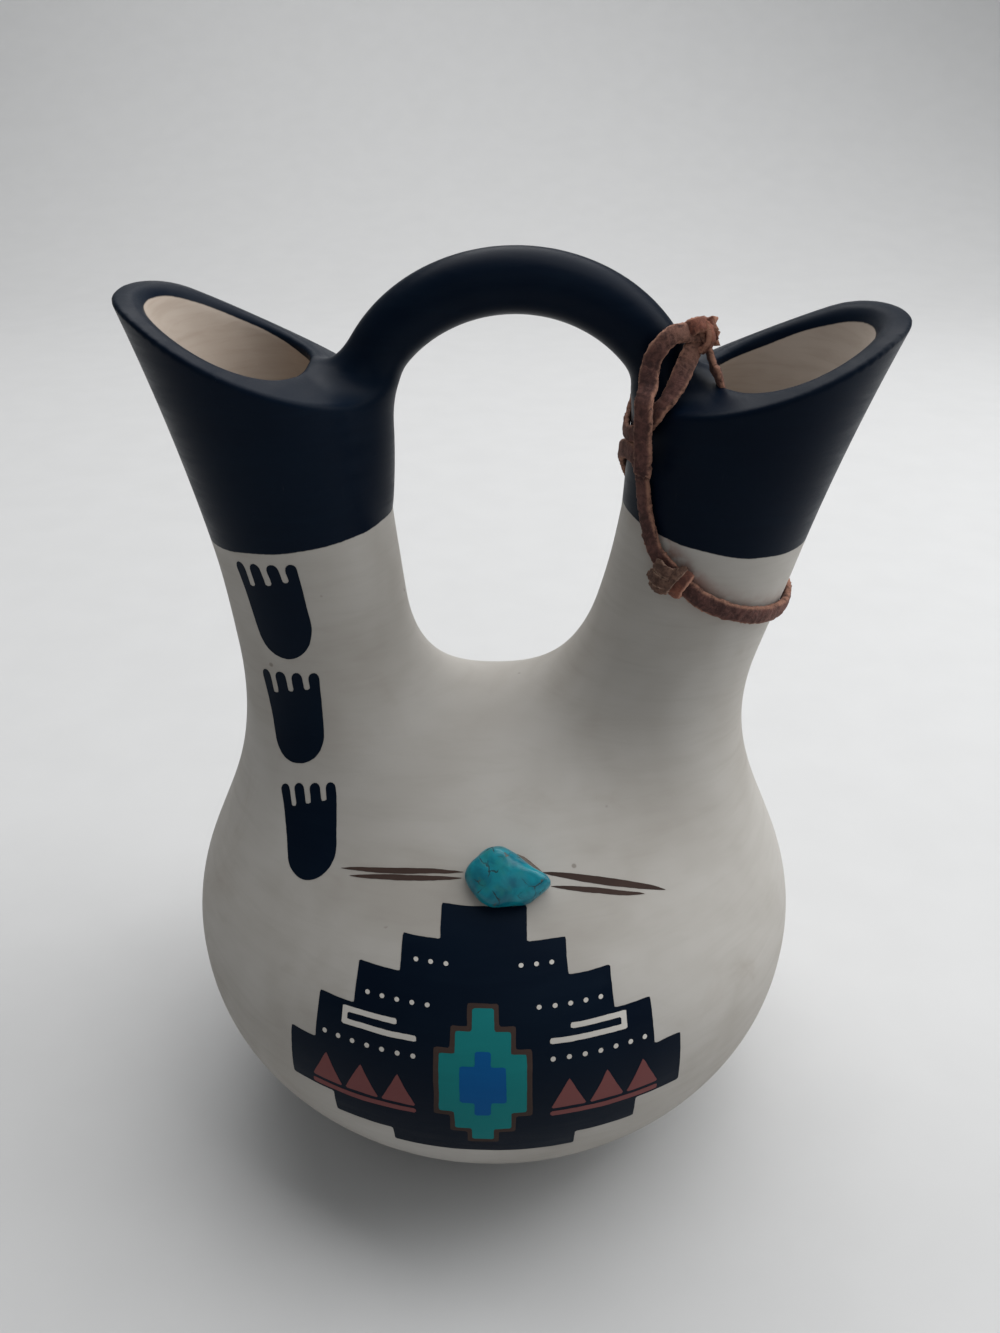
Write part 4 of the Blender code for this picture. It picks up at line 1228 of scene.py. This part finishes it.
def make_quills(brown):
    """Two fine strokes to each side of the nugget."""
    strokes = [
        ((-0.0187, -0.0415, 0.0836), (-0.0057, -0.0436, 0.0847), 0.0268, 0.0012),
        ((-0.0178, -0.0428, 0.0828), (-0.0057, -0.0447, 0.0840), 0.0244, 0.0012),
        ((0.0228, -0.0425, 0.0816), (0.0363, -0.0411, 0.0780), 0.0278, 0.0016),
        ((0.0214, -0.0445, 0.0808), (0.0310, -0.0433, 0.0789), 0.0205, 0.0012),
    ]
    for number, (centre, end, length, thick) in enumerate(strokes):
        lay = on_patch(centre, end)
        stroke = [(b, a) for a, b in feather_line(length, thick, 0.0003)]
        painted(f"quill_{number + 1}", [stroke], lay, brown, "black_slip", seed=40 + number, corner=0.0001)


def make_medallion(paints):
    """The painted field under the nugget: a stepped cloud with a stepped diamond, hills and rain."""

    def lay(u, v, lift):
        return on_belly(u + MEDALLION_X, v, lift)

    cloud_steps = stepped([
        (0.019, -0.0170, -0.0115), (0.032, -0.0115, -0.0050), (0.0425, -0.0050, 0.0075),
        (0.036, 0.0075, 0.0180), (0.0275, 0.0180, 0.0275), (0.0180, 0.0275, 0.0360), (0.0095, 0.0360, 0.0440),
    ])
    painted("cloud_field", [cloud_steps], lay, paints["black"], "black_slip", seed=1)

    diamond = stepped([
        (0.0032, -0.0125, -0.0085), (0.0066, -0.0085, -0.0035), (0.0098, -0.0035, 0.0125),
        (0.0066, 0.0125, 0.0175), (0.0032, 0.0175, 0.0225),
    ])
    painted("diamond_border", [diamond], lay, paints["brown"], "slip", layer=1, seed=2)
    inner = stepped([
        (0.0022, -0.0113, -0.0074), (0.0056, -0.0074, -0.0024), (0.0087, -0.0024, 0.0114),
        (0.0056, 0.0114, 0.0164), (0.0022, 0.0164, 0.0214),
    ])
    painted("diamond", [inner], lay, paints["turquoise"], "slip", layer=2, seed=3)
    heart = stepped([(0.0016, -0.0030, 0.0004), (0.0046, 0.0004, 0.0088), (0.0016, 0.0088, 0.0122)])
    painted("diamond_heart", [heart], lay, paints["blue"], "slip", layer=3, seed=4)

    hills = []
    for step in range(3):
        left = 0.0135 + step * 0.0080
        hill = [(left, -0.0022), (left + 0.0074, -0.0022), (left + 0.0037, 0.0052)]
        hills += [hill, mirrored(hill)]
    painted("hills", hills, lay, paints["rust"], "slip", layer=1, seed=5)
    base = [(0.0135, -0.0044), (0.0369, -0.0044), (0.0369, -0.0031), (0.0135, -0.0031)]
    painted("hill_lines", [base, mirrored(base)], lay, paints["rust"], "slip", layer=1, seed=9)

    dots = []
    for count, first, height in DOT_ROWS:
        for step in range(count):
            u = first + step * DOT_SPACING
            dots += [dot(u, height, DOT_RADIUS), dot(-u, height, DOT_RADIUS)]
    painted("dots", dots, lay, paints["white"], "slip", layer=1, seed=60, corner=0.0001, waver=0.00006)

    key = [
        (0.0135, 0.0130), (0.0300, 0.0130), (0.0300, 0.0170), (0.0178, 0.0170), (0.0178, 0.0158),
        (0.0288, 0.0158), (0.0288, 0.0142), (0.0135, 0.0142),
    ]
    painted("key_lines", [key, mirrored(key)], lay, paints["white"], "slip", layer=1, seed=12, corner=0.0002)


# Nugget


def nugget_frame():
    """The place on the bare belly where the nugget sits: its x runs along the pot's width, z out of it."""
    front = np.array([[NUGGET_X, -BELLY_RADIUS, NUGGET_LEVEL]])
    near, far = 0.0, BELLY_RADIUS
    for _ in range(36):
        half = (near + far) / 2
        if body_distance(front + [0, half, 0])[0] > 0:
            near = half
        else:
            far = half
    seat = front[0] + [0, near, 0]
    out = Vector(outward(seat[None])[0])
    across = (Vector((1, 0, 0)) - out * out.x).normalized()
    turn = Matrix((across, out.cross(across), out)).transposed()
    return Matrix.Translation(Vector(leaned([seat])[0])) @ turn.to_4x4()


def nugget_reach():
    """The outline as angles and distances from its middle, read from a closed smooth curve."""
    points = np.array([(x, y, 0.0) for x, y in NUGGET_OUTLINE])
    around = smooth_curve(np.vstack([points[-2:], points, points[:2]]), 0.0002)
    return np.arctan2(around[:, 1], around[:, 0]), np.hypot(around[:, 0], around[:, 1])


def make_nugget():
    """A tumbled pebble: a high left shoulder, a ridge that runs down to its right point, soft dents."""
    angles, reaches = nugget_reach()
    order = np.argsort(angles)
    ridge_start, ridge_end = (Vector(point) for point in NUGGET_RIDGE)
    ridge_way = (ridge_end - ridge_start).normalized()
    half_height = max(y for _, y in NUGGET_OUTLINE)
    half_width = max(x for x, _ in NUGGET_OUTLINE)
    bm = bmesh.new()
    bmesh.ops.create_icosphere(bm, subdivisions=6, radius=1)
    for vert in bm.verts:
        turn = math.atan2(vert.co.y, vert.co.x)
        edge = np.interp(turn, angles[order], reaches[order], period=2 * math.pi)
        u, v = vert.co.x * edge, vert.co.y * edge
        if vert.co.z > 0:
            off_ridge = abs((Vector((u, v)) - ridge_start).cross(ridge_way)) / half_height
            ridge = 1 - 0.26 * off_ridge - 0.14 * max(0.0, u / half_width)
            height = NUGGET_BACK + NUGGET_THICKNESS * vert.co.z**0.62 * ridge
        else:
            u *= 1 - 0.10 * math.sin(-math.pi * vert.co.z) ** 2
            v *= 1 - 0.10 * math.sin(-math.pi * vert.co.z) ** 2
            height = NUGGET_BACK * (1 + vert.co.z * 0.6)
        place = Vector((u, v, height))
        dents = noise.noise(place * 260) * 0.00030 + noise.noise(place * 620) * 0.00010
        vert.co = place + vert.co.normalized() * dents
    bmesh.ops.smooth_vert(bm, verts=bm.verts, factor=0.5, use_axis_x=True, use_axis_y=True, use_axis_z=True)
    mesh = bpy.data.meshes.new("turquoise")
    bm.to_mesh(mesh)
    bm.free()
    mesh.transform(nugget_frame())
    place_piece("turquoise", mesh, turquoise_material(), "turquoise", "turquoise_nugget")


def dress_resin():
    """The resin bed is the CAD piece with its own finish."""
    bed = bpy.data.objects[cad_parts["resin_bed"].name]
    bed.data.materials.clear()
    bed.data.materials.append(resin_material())


# Stage


def make_stage():
    """A pale floor that sweeps up behind the vase."""
    half_width, front, bend, radius, top = 2.5, -1.4, 0.9, 0.8, 2.6
    profile = [(front, 0.0), (bend, 0.0)]
    for angle in np.linspace(0, math.pi / 2, 25)[1:]:
        profile.append((bend + radius * math.sin(angle), radius * (1 - math.cos(angle))))
    profile.append((bend + radius, top))
    vertices, faces = [], []
    for y, z in profile:
        vertices += [(-half_width, y, z), (half_width, y, z)]
    for row in range(len(profile) - 1):
        faces.append((2 * row, 2 * row + 1, 2 * row + 3, 2 * row + 2))
    mesh = mesh_of("sweep", vertices, faces)
    mesh.shade_smooth()
    sweep = bpy.data.objects.new("sweep", mesh)
    collection("stage").objects.link(sweep)
    made, tree, shader = new_material("pale_sweep")
    place = own_place(tree)
    axes = add_node(tree, "ShaderNodeSeparateXYZ", {0: place}).outputs
    paper = mix(tree, smooth_step(tree, axes["Y"], -0.15, 0.22), (0.56, 0.56, 0.56), (0.57, 0.57, 0.57))
    paper = mix(tree, smooth_step(tree, axes["Y"], 0.50, 1.60), paper, (0.57, 0.57, 0.57))
    grain = smooth_step(tree, cloud(tree, place, 40.0, 4.0), 0.2, 0.8)
    paper = mix(tree, maths(tree, "MULTIPLY", grain, 0.05), paper, (0.9, 0.9, 0.9))
    feed(tree, shader.inputs["Base Color"], paper)
    shader.inputs["Roughness"].default_value = 0.7
    shader.inputs["Specular IOR Level"].default_value = 0.2
    mesh.materials.append(finish_material(made))


def softbox(name, place, target, size, power, colour=(1.0, 1.0, 1.0)):
    light = bpy.data.lights.new(name, "AREA")
    light.shape = "RECTANGLE"
    light.size, light.size_y = size
    light.energy = power
    light.color = colour
    made = bpy.data.objects.new(name, light)
    made.location = place
    made.rotation_euler = (Vector(target) - Vector(place)).to_track_quat("-Z", "Y").to_euler()
    collection("stage").objects.link(made)


def light_studio():
    world = bpy.data.worlds.new("studio")
    bpy.context.scene.world = world
    world.use_nodes = True
    background = world.node_tree.nodes["Background"]
    background.inputs["Color"].default_value = (0.93, 0.97, 1.0, 1)
    background.inputs["Strength"].default_value = 0.21
    softbox("overhead", (0.25, 0.41, 1.15), (0.0, 0.04, 0.08), (2.0, 1.4), 23.0)
    softbox("right_window", (1.0, 0.10, 0.50), (0.0, 0.0, 0.10), (0.8, 0.9), 5.0, (0.97, 0.99, 1.0))
    softbox("front_fill", (0.10, -1.20, 0.75), (0.0, 0.0, 0.10), (1.0, 0.8), 1.0)
    bpy.context.scene.view_settings.view_transform = "Standard"


def main():
    aim_camera()
    neck, lower = make_lace()
    make_clay(neck, lower)
    paints = {
        "black": paint_material("black_paint", BLACK_SLIP[0], BLACK_SLIP[1], 0.46),
        "brown": paint_material("brown_paint", (0.040, 0.026, 0.022), (0.070, 0.045, 0.038), 0.60),
        "turquoise": paint_material("turquoise_paint", (0.008, 0.160, 0.165), (0.012, 0.200, 0.200), 0.58),
        "blue": paint_material("blue_paint", (0.002, 0.070, 0.235), (0.005, 0.095, 0.280), 0.58),
        "rust": paint_material("rust_paint", (0.165, 0.058, 0.058), (0.200, 0.075, 0.070), 0.62),
        "white": paint_material("white_paint", (0.600, 0.575, 0.535), (0.540, 0.510, 0.465), 0.66),
    }
    make_medallion(paints)
    make_prints(paints["black"])
    make_quills(paints["brown"])
    make_nugget()
    dress_resin()
    make_stage()
    light_studio()


main()
